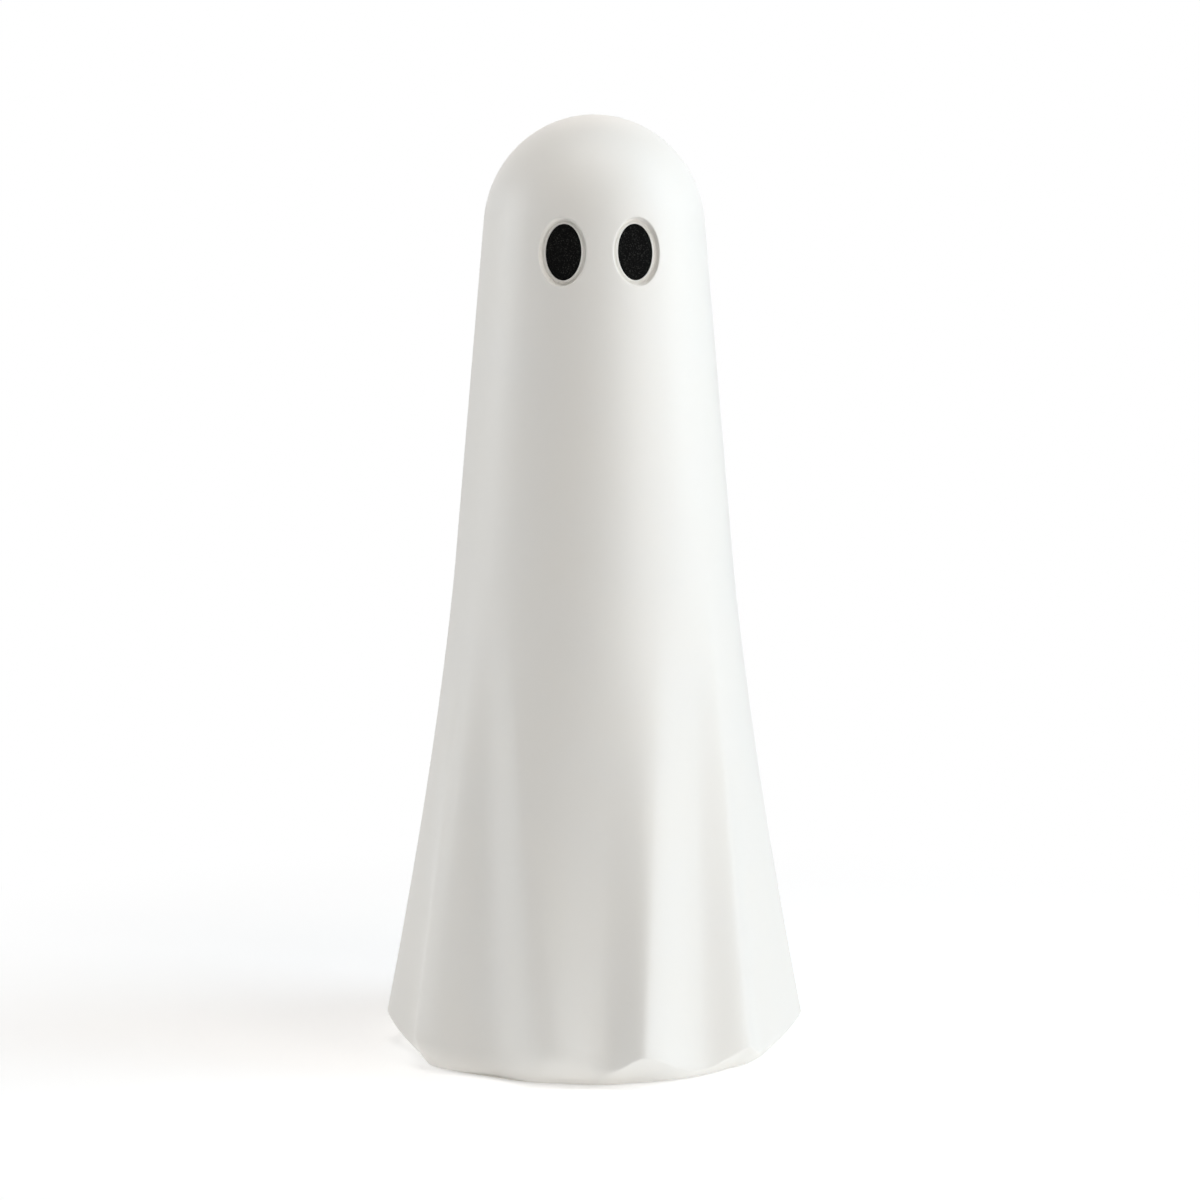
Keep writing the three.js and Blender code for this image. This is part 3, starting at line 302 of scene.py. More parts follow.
@functools.lru_cache(None)
def fold_at(angle):
    """What an angle needs of its fold: crest, foot, hollow, the hollow's top, and the sway."""
    turn = FOLDS[0][0] + (angle - FOLDS[0][0]) % 360
    index = max(i for i, fold in enumerate(FOLDS) if fold[0] <= turn + ROUNDING)
    ridge, sway, crest, foot, hollow, hollow_foot, top, lean, before, after = FOLDS[index]
    following = FOLDS[(index + 1) % len(FOLDS)]
    end = following[0] + (360 if index + 1 == len(FOLDS) else 0)
    share = (turn - ridge) / (end - ridge)
    first = share < lean
    half = 0.5 * share / lean if first else 0.5 + 0.5 * (share - lean) / (1 - lean)
    wave = math.sin(math.pi * half)
    full = math.hypot(1, CREST_ROUND) - CREST_ROUND
    rounded = (math.hypot(wave, CREST_ROUND) - CREST_ROUND) / full
    depth = max(0, rounded) ** (before if first else after)
    crest_here = mix(crest, following[2], share) * (1 - depth)
    foot_here = mix(mix(foot, following[3], share), hollow_foot, depth)
    return crest_here, foot_here, hollow * depth, top, mix(sway, following[1], share)


def fading(z, top):
    """The share of a fold's depth that is left at a height."""
    return (max(0, top - z) / (top - HEM)) ** FADE


def skirt(angle, z):
    """Radius of the folded surface."""
    crest, _, hollow, top, _ = fold_at(angle)
    return outline(z) - crest * fading(z, CREST_TOP) - hollow * fading(z, top)


def swayed(angle, z):
    """A fold turns a little round the body on its way up to the waist."""
    return angle + fold_at(angle)[4] * (min(z, FLARE_TOP) - HEM) / 100


def base_cone(angle, z):
    """Below the hem the body turns in at 45 degrees."""
    return fold_at(angle)[1] + z


def shut_in(test, low, high, within):
    """Halve a range until it shuts in the place where a test turns from false to true."""
    while high - low > within:
        middle = (low + high) / 2
        low, high = (low, middle) if test(middle) else (middle, high)
    return low, high


@functools.lru_cache(None)
def hem_height(angle):
    """Height where the folded surface meets the base cone: the scalloped hem."""
    narrower = lambda z: skirt(angle, z) <= base_cone(angle, z)
    return shut_in(narrower, BOTTOM, HEM_BELOW, PRECISION)[0]


def rounded_min(a, b, blend):
    """The smaller of two radii, with the corner between them rounded over about this width."""
    share = min(1, max(0, 0.5 + 0.5 * (b - a) / blend))
    return mix(b, a, share) - blend * share * (1 - share)


print("hem heights:", [round(hem_height(a), 1) for a in range(0, 60, 12)])

# %% [markdown]
# ## The shell
# The real shell is one thin moulded skin. Here it starts as a small circle at the top of the
# dome. That ring is extruded again and again: down the outside, in under the bottom, round the
# recess for the base plate, and up the inside to the top again. Each new ring's points are moved
# to the radius and height that the outline gives for their angle, as a potter's hand follows a
# template. The hem's crease gets rings close together, so that it stays crisp.

# %% A ring that is carried along
COLUMNS = 352  # points in each ring
HEM_ROUND = 1.3  # the crease of the hem is rounded over this width
SOFT_ROUND = 13  # where it runs out into a soft bend
SOFT_FROM, SOFT_TO, SOFT_FADE = -76, 4, 9  # degrees round the body, and the change at either end


def hem_round(angle):
    """The crease is crisp all round but for the front right, where it is a soft bend."""
    turn = (angle + 180) % 360 - 180
    inside = min(turn - SOFT_FROM, SOFT_TO - turn) / SOFT_FADE
    share = min(1, max(0, inside))
    return mix(HEM_ROUND, SOFT_ROUND, share * share * (3 - 2 * share))


def open_edges(bm, before=()):
    """The edges with a face on one side only, but for those that were open before."""
    return [edge for edge in bm.edges if edge.is_boundary and edge not in before]


def new_ring(bm, loop):
    """Extrude a closed ring of edges. Gives the new ring's edges and vertices."""
    made = bmesh.ops.extrude_edge_only(bm, edges=loop)["geom"]
    verts = [g for g in made if isinstance(g, bmesh.types.BMVert)]
    fresh = set(verts)
    edges = [g for g in made if isinstance(g, bmesh.types.BMEdge) and fresh.issuperset(g.verts)]
    return edges, verts


def carry(bm, loop, radius, height):
    """Extrude a ring and move it to a radius and a height, each a number or a function of the
    angle at the hem."""
    loop, verts = new_ring(bm, loop)
    hem_angle = bm.verts.layers.float["hem_angle"]
    for vert in verts:
        angle = round(vert[hem_angle], 3)
        z = height(angle) if callable(height) else height
        out = radius(angle, z) if callable(radius) else radius
        vert.co = around(swayed(angle, z), out, z)
    return loop


# %% Down the outside
DOME_RINGS, SKIRT_RINGS, CONE_RINGS, ROLL_RINGS = 34, 124, 12, 4
SKIRT_CROWDING, CONE_CROWDING = 1.3, 1.5  # over 1, rings lie closer towards the hem
FAN_SHARE = 0.25  # radius of the fan on top, of the first ring's
UNDER_ROUND = 2.5  # radius of the edge between the cone and the bottom
UNDER_TURN = math.pi / 4


def start_at_top(bm, z, radius):
    """A fan of triangles that closes the dome. Gives its outer ring."""
    hem_angle = bm.verts.layers.float.new("hem_angle")
    fan = bmesh.ops.create_circle(bm, cap_ends=True, cap_tris=True, segments=COLUMNS,
                                  radius=radius * MM)
    for vert in fan["verts"]:
        vert.co.z = z * MM
        vert[hem_angle] = math.degrees(math.atan2(vert.co.x, -vert.co.y))
    return open_edges(bm)


def surface(angle, z):
    """Radius of the outside, where the skirt turns in to the base cone."""
    return rounded_min(skirt(angle, z), base_cone(angle, z), hem_round(angle))


def outer_skin(bm):
    """Down the dome, the skirt and the cone, and round into the bottom."""
    steepest = math.asin(DOME_JOIN / DOME_RISE)
    climbs = [mix(math.pi / 2, steepest, i / DOME_RINGS) for i in range(1, DOME_RINGS)]
    levels = [DOME_Z + DOME_RISE * math.sin(climb) for climb in climbs]
    loop = start_at_top(bm, HEIGHT, outline(levels[0]) * FAN_SHARE)
    for z in levels:
        loop = carry(bm, loop, outline(z), z)
    for i in range(SKIRT_RINGS, -1, -1):
        share = (i / SKIRT_RINGS) ** SKIRT_CROWDING
        loop = carry(bm, loop, surface, lambda a, s=share: mix(hem_height(a), JOIN_Z, s))
    roll = BOTTOM + UNDER_ROUND * (1 - math.cos(UNDER_TURN))
    for i in range(1, CONE_RINGS + 1):
        share = (i / CONE_RINGS) ** CONE_CROWDING
        loop = carry(bm, loop, surface, lambda a, s=share: mix(hem_height(a), roll, s))
    turn_in = UNDER_ROUND * math.tan(UNDER_TURN / 2)
    for i in range(ROLL_RINGS - 1, -1, -1):
        turn = UNDER_TURN * i / ROLL_RINGS
        z = BOTTOM + UNDER_ROUND * (1 - math.cos(turn))
        out = BOTTOM - turn_in + UNDER_ROUND * math.sin(turn)
        loop = carry(bm, loop, lambda a, _, out=out: fold_at(a)[1] + out, z)
    return loop


# %% [markdown]
# Under the bottom a flat ring carries the foot pads. Inside it a step takes the base plate,
# and a lip above the plate takes its screws. These are plain rings at fixed radii and heights.
# The inside of the wall follows the outside at the wall's thickness.

# %% In under the bottom and up the inside
GAP, RING_T, PLATE_T = 0.3, 2.5, 3  # room between pieces, and thickness of ring and plate
REBATE_R, LIP_R = 80, 66
LIP_Z = BOTTOM + PLATE_T + GAP
EDGE_BREAK = 0.4  # small rounding of the recess's edge
LINER_RINGS, LINER_DOME_RINGS, LINER_CROWDING = 26, 10, 1.5


def liner(angle, z):
    """Radius of the inside of the wall up to the dome."""
    return min(skirt(angle, z) - WALL, base_cone(angle, z) - WALL * math.sqrt(2))


def under_and_inside(bm, loop):
    """Round the recess and its lip, and up the inside to near the top."""
    fixed = [
        (REBATE_R + EDGE_BREAK, BOTTOM), (REBATE_R, BOTTOM + EDGE_BREAK), (REBATE_R, LIP_Z),
        (LIP_R, LIP_Z), (LIP_R, LIP_Z + RING_T), (REBATE_R + RING_T, LIP_Z + RING_T),
        (REBATE_R + RING_T, BOTTOM + RING_T),
    ]
    for radius, z in fixed:
        loop = carry(bm, loop, radius, z)
    for i in range(LINER_RINGS + 1):
        z = mix(BOTTOM + RING_T, JOIN_Z, (i / LINER_RINGS) ** LINER_CROWDING)
        loop = carry(bm, loop, liner, z)
    start = math.asin(DOME_JOIN / DOME_RISE)
    for i in range(1, LINER_DOME_RINGS):
        z = DOME_Z + (DOME_RISE - WALL) * math.sin(mix(start, math.pi / 2, i / LINER_DOME_RINGS))
        loop = carry(bm, loop, inner_outline(z), z)
    return loop


def close_inside(bm, loop):
    """Draw the last ring together on the axis."""
    _, verts = new_ring(bm, loop)
    bmesh.ops.pointmerge(bm, verts=verts, merge_co=(0, 0, (HEIGHT - WALL) * MM))


shell = bmesh.new()
close_inside(shell, under_and_inside(shell, outer_skin(shell)))
print("shell before its sockets:", len(shell.faces), "faces,",
      sum(edge.is_boundary for edge in shell.edges), "open edges")

# %% [markdown]
# ## Eye sockets
# Each eye lies in an oval socket: a steep wall goes down from the surface into a groove round a
# narrow flat ledge, and a pocket in the ledge takes the black insert. A boolean cut would leave
# long thin faces on a smooth white surface, where every wrinkle shows. Instead the wall is opened
# round the socket, oval rings are extruded from the surface in to the pocket and back to the
# inner wall, and the two ends are bridged to the opening.

# %% The eye's own frame
EYE_Z = HEIGHT - 70.3
EYE_ANGLE = 19.2  # degrees from the face's middle to the middle of an eye
SOCKET_DEPTH = 3.2  # from the surface down to the ledge
INSERT_W, INSERT_H, INSERT_T, INSERT_SINK = 19.6, 29.6, 1.5, 0.1
LEDGE_MARGIN = 1  # width of the ledge round the insert
SPIGOT_INSET, SPIGOT_LENGTH = 4, 2.2  # of the plug behind the insert
SOCKET_WALL, SOCKET_RIM = 2, 4.05  # of the cup behind the ledge
POCKET_DEPTH = INSERT_T + INSERT_SINK + GAP
LEDGE = (INSERT_W / 2 + LEDGE_MARGIN, INSERT_H / 2 + LEDGE_MARGIN)
OVAL_STEPS = 96
SEARCH = 15  # the surface is looked for this far out of and into the eye's plane


def eye_frame(side):
    """Across, up and out of the eye, with the origin on the ledge, in millimetres."""
    outward = around(side * EYE_ANGLE, 1, 0) / MM
    tilt = math.atan(TAPER)
    out = outward * math.cos(tilt) + Vector((0, 0, math.sin(tilt)))
    up = Vector((0, 0, math.cos(tilt))) - outward * math.sin(tilt)
    place = outward * outline(EYE_Z) + Vector((0, 0, EYE_Z)) - out * SOCKET_DEPTH
    eye = Matrix((up.cross(out), up, out)).transposed().to_4x4()
    eye.translation = place
    return eye


def above_surface(eye, point, radius_at):
    """Whether a point of the eye's frame lies outside the wall's surface."""
    at = eye @ Vector(point)
    return math.hypot(at.x, at.y) > radius_at(at.z)


def on_surface(eye, x, y, radius_at=outline):
    """The point straight out from (x, y) of the eye's frame on the wall's surface."""
    outside = lambda w: above_surface(eye, (x, y, w), radius_at)
    return Vector((x, y, shut_in(outside, -SEARCH, SEARCH, PRECISION / 2)[1]))


print("left ledge at", [round(c, 1) for c in eye_frame(1).translation])

# %% Rings of a socket
SOCKET_RUN = 2.3  # from the ledge to the lip
LIP_ROUND = 0.5
LIP_SHARES = (0.25, 0.5, 0.75)  # points on the rounding of the lip
CUP_FLANGE = 2  # from the cup to the last ring, on the inner wall
# From the wall's foot through the groove up on to the ledge: out from the ledge's edge, and height.
GROOVE = [(1.85, 0.4), (1.75, -0.3), (1.45, -0.65), (0.9, -0.8), (0.4, -0.65), (0.12, -0.3),
          (0.03, -0.1), (-0.12, 0)]


def bend(before, corner, after, share):
    """A point of the rounding that replaces a corner."""
    return before.lerp(corner, share).lerp(corner.lerp(after, share), share)


def oval_point(turn, grow, w=0):
    """A point on the ledge's oval, grown by this much, at a height over the ledge."""
    return Vector(((LEDGE[0] + grow) * math.cos(turn), (LEDGE[1] + grow) * math.sin(turn), w))


def socket_rings(eye, turn):
    """The points that one spoke of the socket passes through, from the outside to the inside."""
    beyond = lambda more: on_surface(eye, *oval_point(turn, SOCKET_RUN + more).xy)
    outer, lip = beyond(LIP_ROUND), beyond(0)
    wall = oval_point(turn, SOCKET_RUN - LIP_ROUND / 3, lip.z - LIP_ROUND)
    points = [beyond(3 * LIP_ROUND), outer]
    points += [bend(outer, lip, wall, share) for share in LIP_SHARES] + [wall]
    pocket, hole, cup = -LEDGE_MARGIN, -LEDGE_MARGIN - SPIGOT_INSET, SOCKET_RIM
    floor, back = -POCKET_DEPTH, -POCKET_DEPTH - SOCKET_WALL
    behind = [(pocket, 0), (pocket, floor), (hole, floor), (hole, back), (cup, back)]
    points += [oval_point(turn, grow, w) for grow, w in GROOVE + behind]
    for grow in (cup, cup + CUP_FLANGE):
        points.append(on_surface(eye, *oval_point(turn, grow).xy, inner_outline))
    return points


def add_socket(bm, eye):
    """Extrude the socket's rings. Gives its outermost and innermost ring of edges."""
    verts = bmesh.ops.create_circle(bm, segments=OVAL_STEPS, radius=1)["verts"]
    first = loop = list({edge for vert in verts for edge in vert.link_edges})
    spokes = [socket_rings(eye, math.atan2(vert.co.y, vert.co.x)) for vert in verts]
    key = lambda place: tuple(round(c, 4) for c in place)
    spoke_at = {key(vert.co): spoke for vert, spoke in zip(verts, spokes)}
    for number in range(len(spokes[0])):
        if number:  # a new ring starts on the last one, where each point finds its own spoke
            loop, verts = new_ring(bm, loop)
            spoke_at = {key(spoke[number - 1]): spoke for spoke in spokes}
        for vert in verts:
            vert.co = spoke_at[key(vert.co)][number]
    whole = [vert for vert in bm.verts if vert.co.length > 1]  # millimetres, the shell is in metres
    bmesh.ops.transform(bm, matrix=Matrix.Scale(MM, 4) @ eye, verts=whole)
    return first, loop


# %% Open the wall and bridge the socket in
OPENING_GROWTH = (6, 6.2)  # the opening is this much wider and higher than the ledge, a side
FAR_SIDE = -20  # points further in than this belong to the opposite wall


def open_wall(bm, eye, inside):
    """Delete the faces round an eye, on the outside or the inside of the wall."""
    back = eye.inverted()
    width, height = (half + growth for half, growth in zip(LEDGE, OPENING_GROWTH))
    doomed = set()
    for vert in bm.verts:
        at = back @ (vert.co / MM)
        reach = math.hypot(at.x / width, at.y / height)
        radius = math.hypot(vert.co.x, vert.co.y) / MM
        outer = radius > inner_outline(vert.co.z / MM) + WALL / 2
        if reach < 1 and at.z > FAR_SIDE and outer != inside:
            doomed.update(vert.link_faces)
    before = set(open_edges(bm))
    bmesh.ops.delete(bm, geom=list(doomed), context="FACES")
    return open_edges(bm, before)


def fit_socket(bm, side):
    """Open the wall at one eye and close it with a socket."""
    eye = eye_frame(side)
    outer_hole, inner_hole = open_wall(bm, eye, False), open_wall(bm, eye, True)
    outer_ring, inner_ring = add_socket(bm, eye)
    bmesh.ops.bridge_loops(bm, edges=outer_hole + outer_ring)
    bmesh.ops.bridge_loops(bm, edges=inner_hole + inner_ring)


for side in (1, -1):
    fit_socket(shell, side)
print("shell with sockets:", len(shell.faces), "faces,",
      sum(not edge.is_manifold for edge in shell.edges), "loose edges")

# %% [markdown]
# ## Seats for the pads and the base's screws
# The rubber pads lie in shallow round recesses in the bottom ring, and each screw goes through
# the lip into a boss that stands on it. A few faces of the flat ring are taken out and the
# opening's long sides are cut up. The opening's edge is then extruded along the seat's profile,
# each point straight towards the seat's axis, which leaves an even fan of faces.

# %% Plant a seat
OPENING_STEP = 1.3  # millimetres between points on the opening's long sides
LEVEL_WITHIN = 0.01
LIP_TOP = LIP_Z + RING_T
# Each seat: degrees on either side that are opened, then radius and height down its profile.
PAD_SEAT = (5, [(5.5, BOTTOM), (5.1, BOTTOM), (4.9, BOTTOM + 0.1), (4.8, BOTTOM + 0.3), (4.8, 2.0)])
SCREW_HOLE = (3, [(2.2, LIP_Z), (1.8, LIP_Z), (1.55, LIP_Z + 0.25), (1.55, 15.0)])
SCREW_BOSS = (5, [(5.0, LIP_TOP), (4.55, LIP_TOP), (4.1, LIP_TOP + 0.2), (3.95, LIP_TOP + 0.6),
                  (3.95, 16.2), (3.65, 16.5)])


def middle_of(node):
    """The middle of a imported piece's box."""
    low, high = (Vector(corner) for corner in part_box(node))
    return (low + high) / 2


def plant(bm, node, window, profile):
    """Open the flat ring at the profile's first height next to a node and close it with a seat."""
    spot, level = middle_of(node), profile[0][1] * MM
    doomed = []
    for face in bm.faces:
        at = face.calc_center_median()
        if abs(at.z - level) < LEVEL_WITHIN * MM and at.xy.angle(spot.xy) < math.radians(window):
            doomed.append(face)
    before = set(open_edges(bm))
    bmesh.ops.delete(bm, geom=doomed, context="FACES")
    for edge in open_edges(bm, before):
        cuts = round(edge.calc_length() / MM / OPENING_STEP) - 1
        if cuts > 1:
            bmesh.ops.subdivide_edges(bm, edges=[edge], cuts=cuts)
    loop = open_edges(bm, before)
    for radius, z in profile:
        loop, verts = new_ring(bm, loop)
        for vert in verts:
            out = (vert.co - spot).xy.normalized() * radius * MM
            vert.co = (spot.x + out.x, spot.y + out.y, z * MM)
    bmesh.ops.edgeloop_fill(bm, edges=loop)


for number in range(1, 5):
    plant(shell, f"foot_pad_{number}", *PAD_SEAT)
    plant(shell, f"base_screw_{number}", *SCREW_HOLE)
    plant(shell, f"base_screw_{number}", *SCREW_BOSS)
shell.verts.layers.float.remove(shell.verts.layers.float["hem_angle"])
print("shell with its seats:", sum(not edge.is_manifold for edge in shell.edges), "loose edges")

# %% [markdown]
# ## From mesh to piece
# Every new piece takes the place of a packed one: it rides on the same body, stands for that
# node and takes its finish. Smooth shading hides the faces of a curved surface, and edges over
# a given angle stay sharp, as on a moulding.

# %% Make a piece
SLOT_OF = {part["node"]: part["material_slot"] for part in frame["record"]["subparts"]}
BODIES = frame["record"]["behaviour"]["bodies"]
BODY_OF = {node: body for body, members in BODIES.items() for node in members}
SHARP_OVER = math.radians(38)


def make_piece(bm, name, node, *others, flat_faces=False):
    """Turn a mesh into the piece that stands for a node. It has its node's finish and any others.
    Where flat_faces is set, a flat face is shaded flat right up to its soft edges."""
    bmesh.ops.recalc_face_normals(bm, faces=bm.faces)
    mesh = bpy.data.meshes.new(name)
    bm.to_mesh(mesh)
    bm.free()
    mesh.shade_smooth()
    mesh.set_sharp_from_angle(angle=SHARP_OVER)
    for finish in (FINISHES[SLOT_OF[node]], *others):
        mesh.materials.append(finish)
    piece = add_object(name, mesh)
    if flat_faces:
        piece.modifiers.new("flat_faces", "WEIGHTED_NORMAL").keep_sharp = True
    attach(piece, BODY_OF[node])
    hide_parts(node)
    print(name, "has", len(mesh.polygons), "faces")
    return piece


print(len(SLOT_OF), "pieces to make in", len(set(SLOT_OF.values())), "finishes")

# %% [markdown]
# ## Finishes
# Each finish is a Principled shader with its own colour, roughness and relief. A pattern's
# size is given in millimetres and read from Object coordinates, so it keeps its scale whatever
# the mesh is like. Real grain is mostly finer than 0.2 mm, too fine to show, so it is drawn
# coarser, at the size that each finish gives.

# %% Start a finish
def start_finish(name, **sockets):
    """A material with one Principled shader. Sockets are named with _ for a space."""
    material = bpy.data.materials.new(name)
    tree = empty_tree(material)
    shader = add_node(tree, "BsdfPrincipled",
                      {key.replace("_", " "): value for key, value in sockets.items()})
    add_node(tree, "OutputMaterial", {"Surface": shader.outputs[0]})
    place = add_node(tree, "TexCoord").outputs["Object"]
    return material, tree, shader, place


def grain(tree, place, size_mm, detail=2.0, roughness=0.5):
    """A noise whose blotches are about this wide."""
    inputs = {"Vector": place, "Scale": 1 / (size_mm * MM), "Detail": detail, "Roughness": roughness}
    return add_node(tree, "TexNoise", inputs).outputs["Fac"]


def spread(tree, value, low, high, to_low, to_high):
    """Map one range of values on to another."""
    inputs = {"Value": value, "From Min": low, "From Max": high, "To Min": to_low, "To Max": to_high}
    return add_node(tree, "MapRange", inputs).outputs[0]


MIX_A, MIX_B, MIX_RESULT = 6, 7, 2  # the colour sockets of a Mix node share their names with others


def two_shades(tree, shader, share, first, second):
    """Colour a finish between two sRGB hex colours."""
    inputs = {"Factor": share, MIX_A: from_hex(first), MIX_B: from_hex(second)}
    colour = add_node(tree, "Mix", inputs, data_type="RGBA").outputs[MIX_RESULT]
    tree.links.new(colour, shader.inputs["Base Color"])


def relief(tree, shader, height, depth_mm, under=None):
    """Bump: the height's 0 to 1 stands for this many millimetres."""
    inputs = {"Height": height, "Distance": depth_mm * MM, "Strength": 1.0}
    if under is not None:
        inputs["Normal"] = under
    bump = add_node(tree, "Bump", inputs).outputs[0]
    tree.links.new(bump, shader.inputs["Normal"])
    return bump


# %% White polyethylene
def satin_polyethylene():
    """Rotation moulded white polyethylene: an even satin skin with slow waves where the wall has
    shrunk a little. The mould's grain is finer than 0.3 mm and is drawn twice as coarse to show."""
    material, tree, shader, place = start_finish("satin_polyethylene", Roughness=0.46, IOR=1.51)
    two_shades(tree, shader, grain(tree, place, 40, 1), "f2efe9", "f0eeea")
    tree.links.new(spread(tree, grain(tree, place, 3), 0.3, 0.7, 0.43, 0.5), shader.inputs["Roughness"])
    waves = relief(tree, shader, grain(tree, place, 30, 1), 0.12)
    relief(tree, shader, grain(tree, place, 0.6), 0.012, waves)
    return material


def speckled_eye_plastic_with_painted_glints():
    """Black plastic with a coarse dead matt grain. Single grains are painted a little paler: partly the
    plastic's own speckle, partly painted glints of the lamps on the grain.
    """
    material, tree, shader, place = start_finish("speckled_black_plastic_with_painted_glints", Roughness=0.85,
                                                 Specular_IOR_Level=0.06)
    # Pale specks in the colour: partly the plastic's own speckle, partly painted glints of the lamps.
    specks_and_painted_glints = grain(tree, place, 0.7, 1, 0.6)
    two_shades(tree, shader, spread(tree, specks_and_painted_glints, 0.55, 0.68, 0, 1), "080808", "2e2e2c")
    relief(tree, shader, grain(tree, place, 0.7, 1), 0.12)
    return material


def textured_white():
    """Injection moulded white plastic with a fine spark texture, which takes the shine off flat
    faces. It is drawn at 0.5 mm, about three times as coarse as it is, so that it shows."""
    material, tree, shader, place = start_finish("spark_textured_plastic", Roughness=0.55, IOR=1.5)
    two_shades(tree, shader, grain(tree, place, 12), "ebe9e5", "e6e4df")
    relief(tree, shader, grain(tree, place, 0.5), 0.05)
    return material


CLOUD_GRAINS = 5  # a moulding's shades change over this many of its grains


def moulded(name, dark, light, roughness, grain_mm, depth_mm):
    """A plain moulding: two close shades and a grain."""
    material, tree, shader, place = start_finish(name, Roughness=roughness)
    two_shades(tree, shader, grain(tree, place, CLOUD_GRAINS * grain_mm), dark, light)
    relief(tree, shader, grain(tree, place, grain_mm), depth_mm)
    return material


def plated(name, dark, light, low, high):
    """Plated metal: a slightly uneven shine."""
    material, tree, shader, place = start_finish(name, Metallic=1.0)
    cloud = grain(tree, place, 1.5, 3)
    two_shades(tree, shader, cloud, dark, light)
    tree.links.new(spread(tree, cloud, 0.3, 0.7, low, high), shader.inputs["Roughness"])
    return material


# %% One finish for each slot
FINISHES = {
    "shell_plastic": satin_polyethylene(),
    "eye_plastic": speckled_eye_plastic_with_painted_glints(),
    "base_plastic": textured_white(),
    # Rubber filled with soot: dull, dark grey rather than black.
    "pad_rubber": moulded("moulded_rubber", "242424", "2e2e2e", 0.85, 0.5, 0.03),
    # Moulded ABS with a light texture: a broad soft highlight.
    "case_plastic": moulded("black_abs", "18181a", "202022", 0.5, 0.5, 0.03),
    # Epoxy with a glass filler: fine grained and nearly matt.
    "chip_plastic": moulded("moulded_epoxy", "141414", "1c1c1c", 0.6, 0.3, 0.02),
    # Acetal, which slides well: waxy, with a clearer highlight than ABS.
    "slider_plastic": moulded("black_acetal", "121212", "1a1a1a", 0.4, 0.4, 0.01),
    # Thin film shrunk on with heat: smooth and shiny.
    "cell_jacket": moulded("shrink_sleeve", "35383d", "3f4247", 0.3, 1, 0.01),
    "capacitor_sleeve": moulded("printed_sleeve", "17191d", "1f2226", 0.3, 1, 0.01),
    # Lacquer over copper and glass cloth: green, glossy and slightly wavy.
    "circuit_board": moulded("green_solder_mask", "1b5031", "226240", 0.35, 1.5, 0.02),
    # Cast epoxy with a white filler: milky, with a clear small highlight.
    "led_epoxy": moulded("milky_epoxy", "f2e6c4", "f7efd8", 0.15, 1, 0.005),
    # Soft vinyl extruded over the strands: a satin skin.
    "red_lead": moulded("red_vinyl", "a81c1c", "b82626", 0.4, 1, 0.01),
    "black_lead": moulded("black_vinyl", "151515", "1d1d1d", 0.4, 1, 0.01),
    # Zinc is bluish and a little dull, nickel is warmer and brighter.
    "screw_steel": plated("zinc_plated_steel", "a9acb1", "c3c6ca", 0.25, 0.4),
    "contact_nickel": plated("nickel_plated_steel", "bdbab2", "d0cec6", 0.15, 0.3),
}
for node, piece in nodes.items():
    piece.data.materials.clear()
    piece.data.materials.append(FINISHES[SLOT_OF[node]])
print(len(FINISHES), "finishes on", len(nodes), "nodes")

# %% The shell
make_piece(shell, "ghost_shell", "body_shell")

# %% [markdown]
# ## Turned pieces
# Eyes, pads, screws, cells and lamps are round or oval, and each is a profile that is spun about
# its axis. Its corners are rounded first, because no real corner is quite sharp, and it is the
# rounding that catches the light.

# %% Spin a profile
TURN_STEPS = 48
STEPS_PER_MM, STEPS_AT_LEAST = 5, 3  # in the rounding of a corner
MERGE_WITHIN = 0.001
UP, DOWN = (0, 0, 1), (0, 0, -1)


def softened(profile):
    """Round a profile's corners: a third number says how far from the corner its rounding starts."""
    points = []
    for number, (radius, z, *soft) in enumerate(profile):
        corner = Vector((radius, z))
        if not soft:
            points.append(corner)
            continue
        before, after = (corner + (Vector(profile[other][:2]) - corner).normalized() * soft[0]
                         for other in (number - 1, number + 1))
        steps = STEPS_AT_LEAST + round(STEPS_PER_MM * soft[0])
        points += [bend(before, corner, after, step / steps) for step in range(steps + 1)]
    return points


def turned(profile, steps=TURN_STEPS):
    """Spin (radius, height) points about Z."""
    bm = bmesh.new()
    first, *others = softened(profile)
    vert = bmesh.ops.create_vert(bm, co=(first.x * MM, 0, first.y * MM))["vert"][0]
    for point in others:
        vert = bmesh.ops.extrude_vert_indiv(bm, verts=[vert])["verts"][0]
        vert.co = (point.x * MM, 0, point.y * MM)
    bmesh.ops.spin(bm, geom=bm.verts[:] + bm.edges[:], cent=(0, 0, 0), axis=(0, 0, 1),
                   angle=math.tau, steps=steps, use_merge=True)
    bmesh.ops.remove_doubles(bm, verts=bm.verts, dist=MERGE_WITHIN * MM)
    return bm


def stand(bm, node, way=UP):
    """Move a turned piece to its node, with its own Z along this way."""
    low, high = (Vector(corner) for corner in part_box(node))
    way = Vector(way)
    foot = (low + high) / 2 - way * abs(way.dot(high - low)) / 2
    turn = Vector(UP).rotation_difference(way).to_matrix().to_4x4()
    bmesh.ops.transform(bm, matrix=Matrix.Translation(foot) @ turn, verts=bm.verts)
    return bm


# %% [markdown]
# The eye's insert is a flat oval button with a slightly crowned face and a soft edge. A plug
# behind it is pressed into the socket. It is spun round, then drawn out upwards to an oval, so
# that its edge is equally soft all round.

# %% Eyes
INSERT_PLAY = 0.1
INSERT_R = INSERT_W / 2 - INSERT_PLAY
SPIGOT_R = INSERT_W / 2 - SPIGOT_INSET - GAP
SPIGOT_END = -INSERT_T - SPIGOT_LENGTH
EYE_CROWN, CROWN_EDGE = 0.12, 3  # the face falls by this much, most of it near its edge
EARLY_FALL = 0.3  # of the crown's fall, before it gets near the edge
INSERT_PROFILE = [
    (0, 0), (INSERT_W / 2 - CROWN_EDGE, -EARLY_FALL * EYE_CROWN), (INSERT_R, -EYE_CROWN, 0.35),
    (INSERT_R, -INSERT_T, 0.1), (SPIGOT_R, -INSERT_T), (SPIGOT_R, SPIGOT_END, 0.4), (0, SPIGOT_END),
]


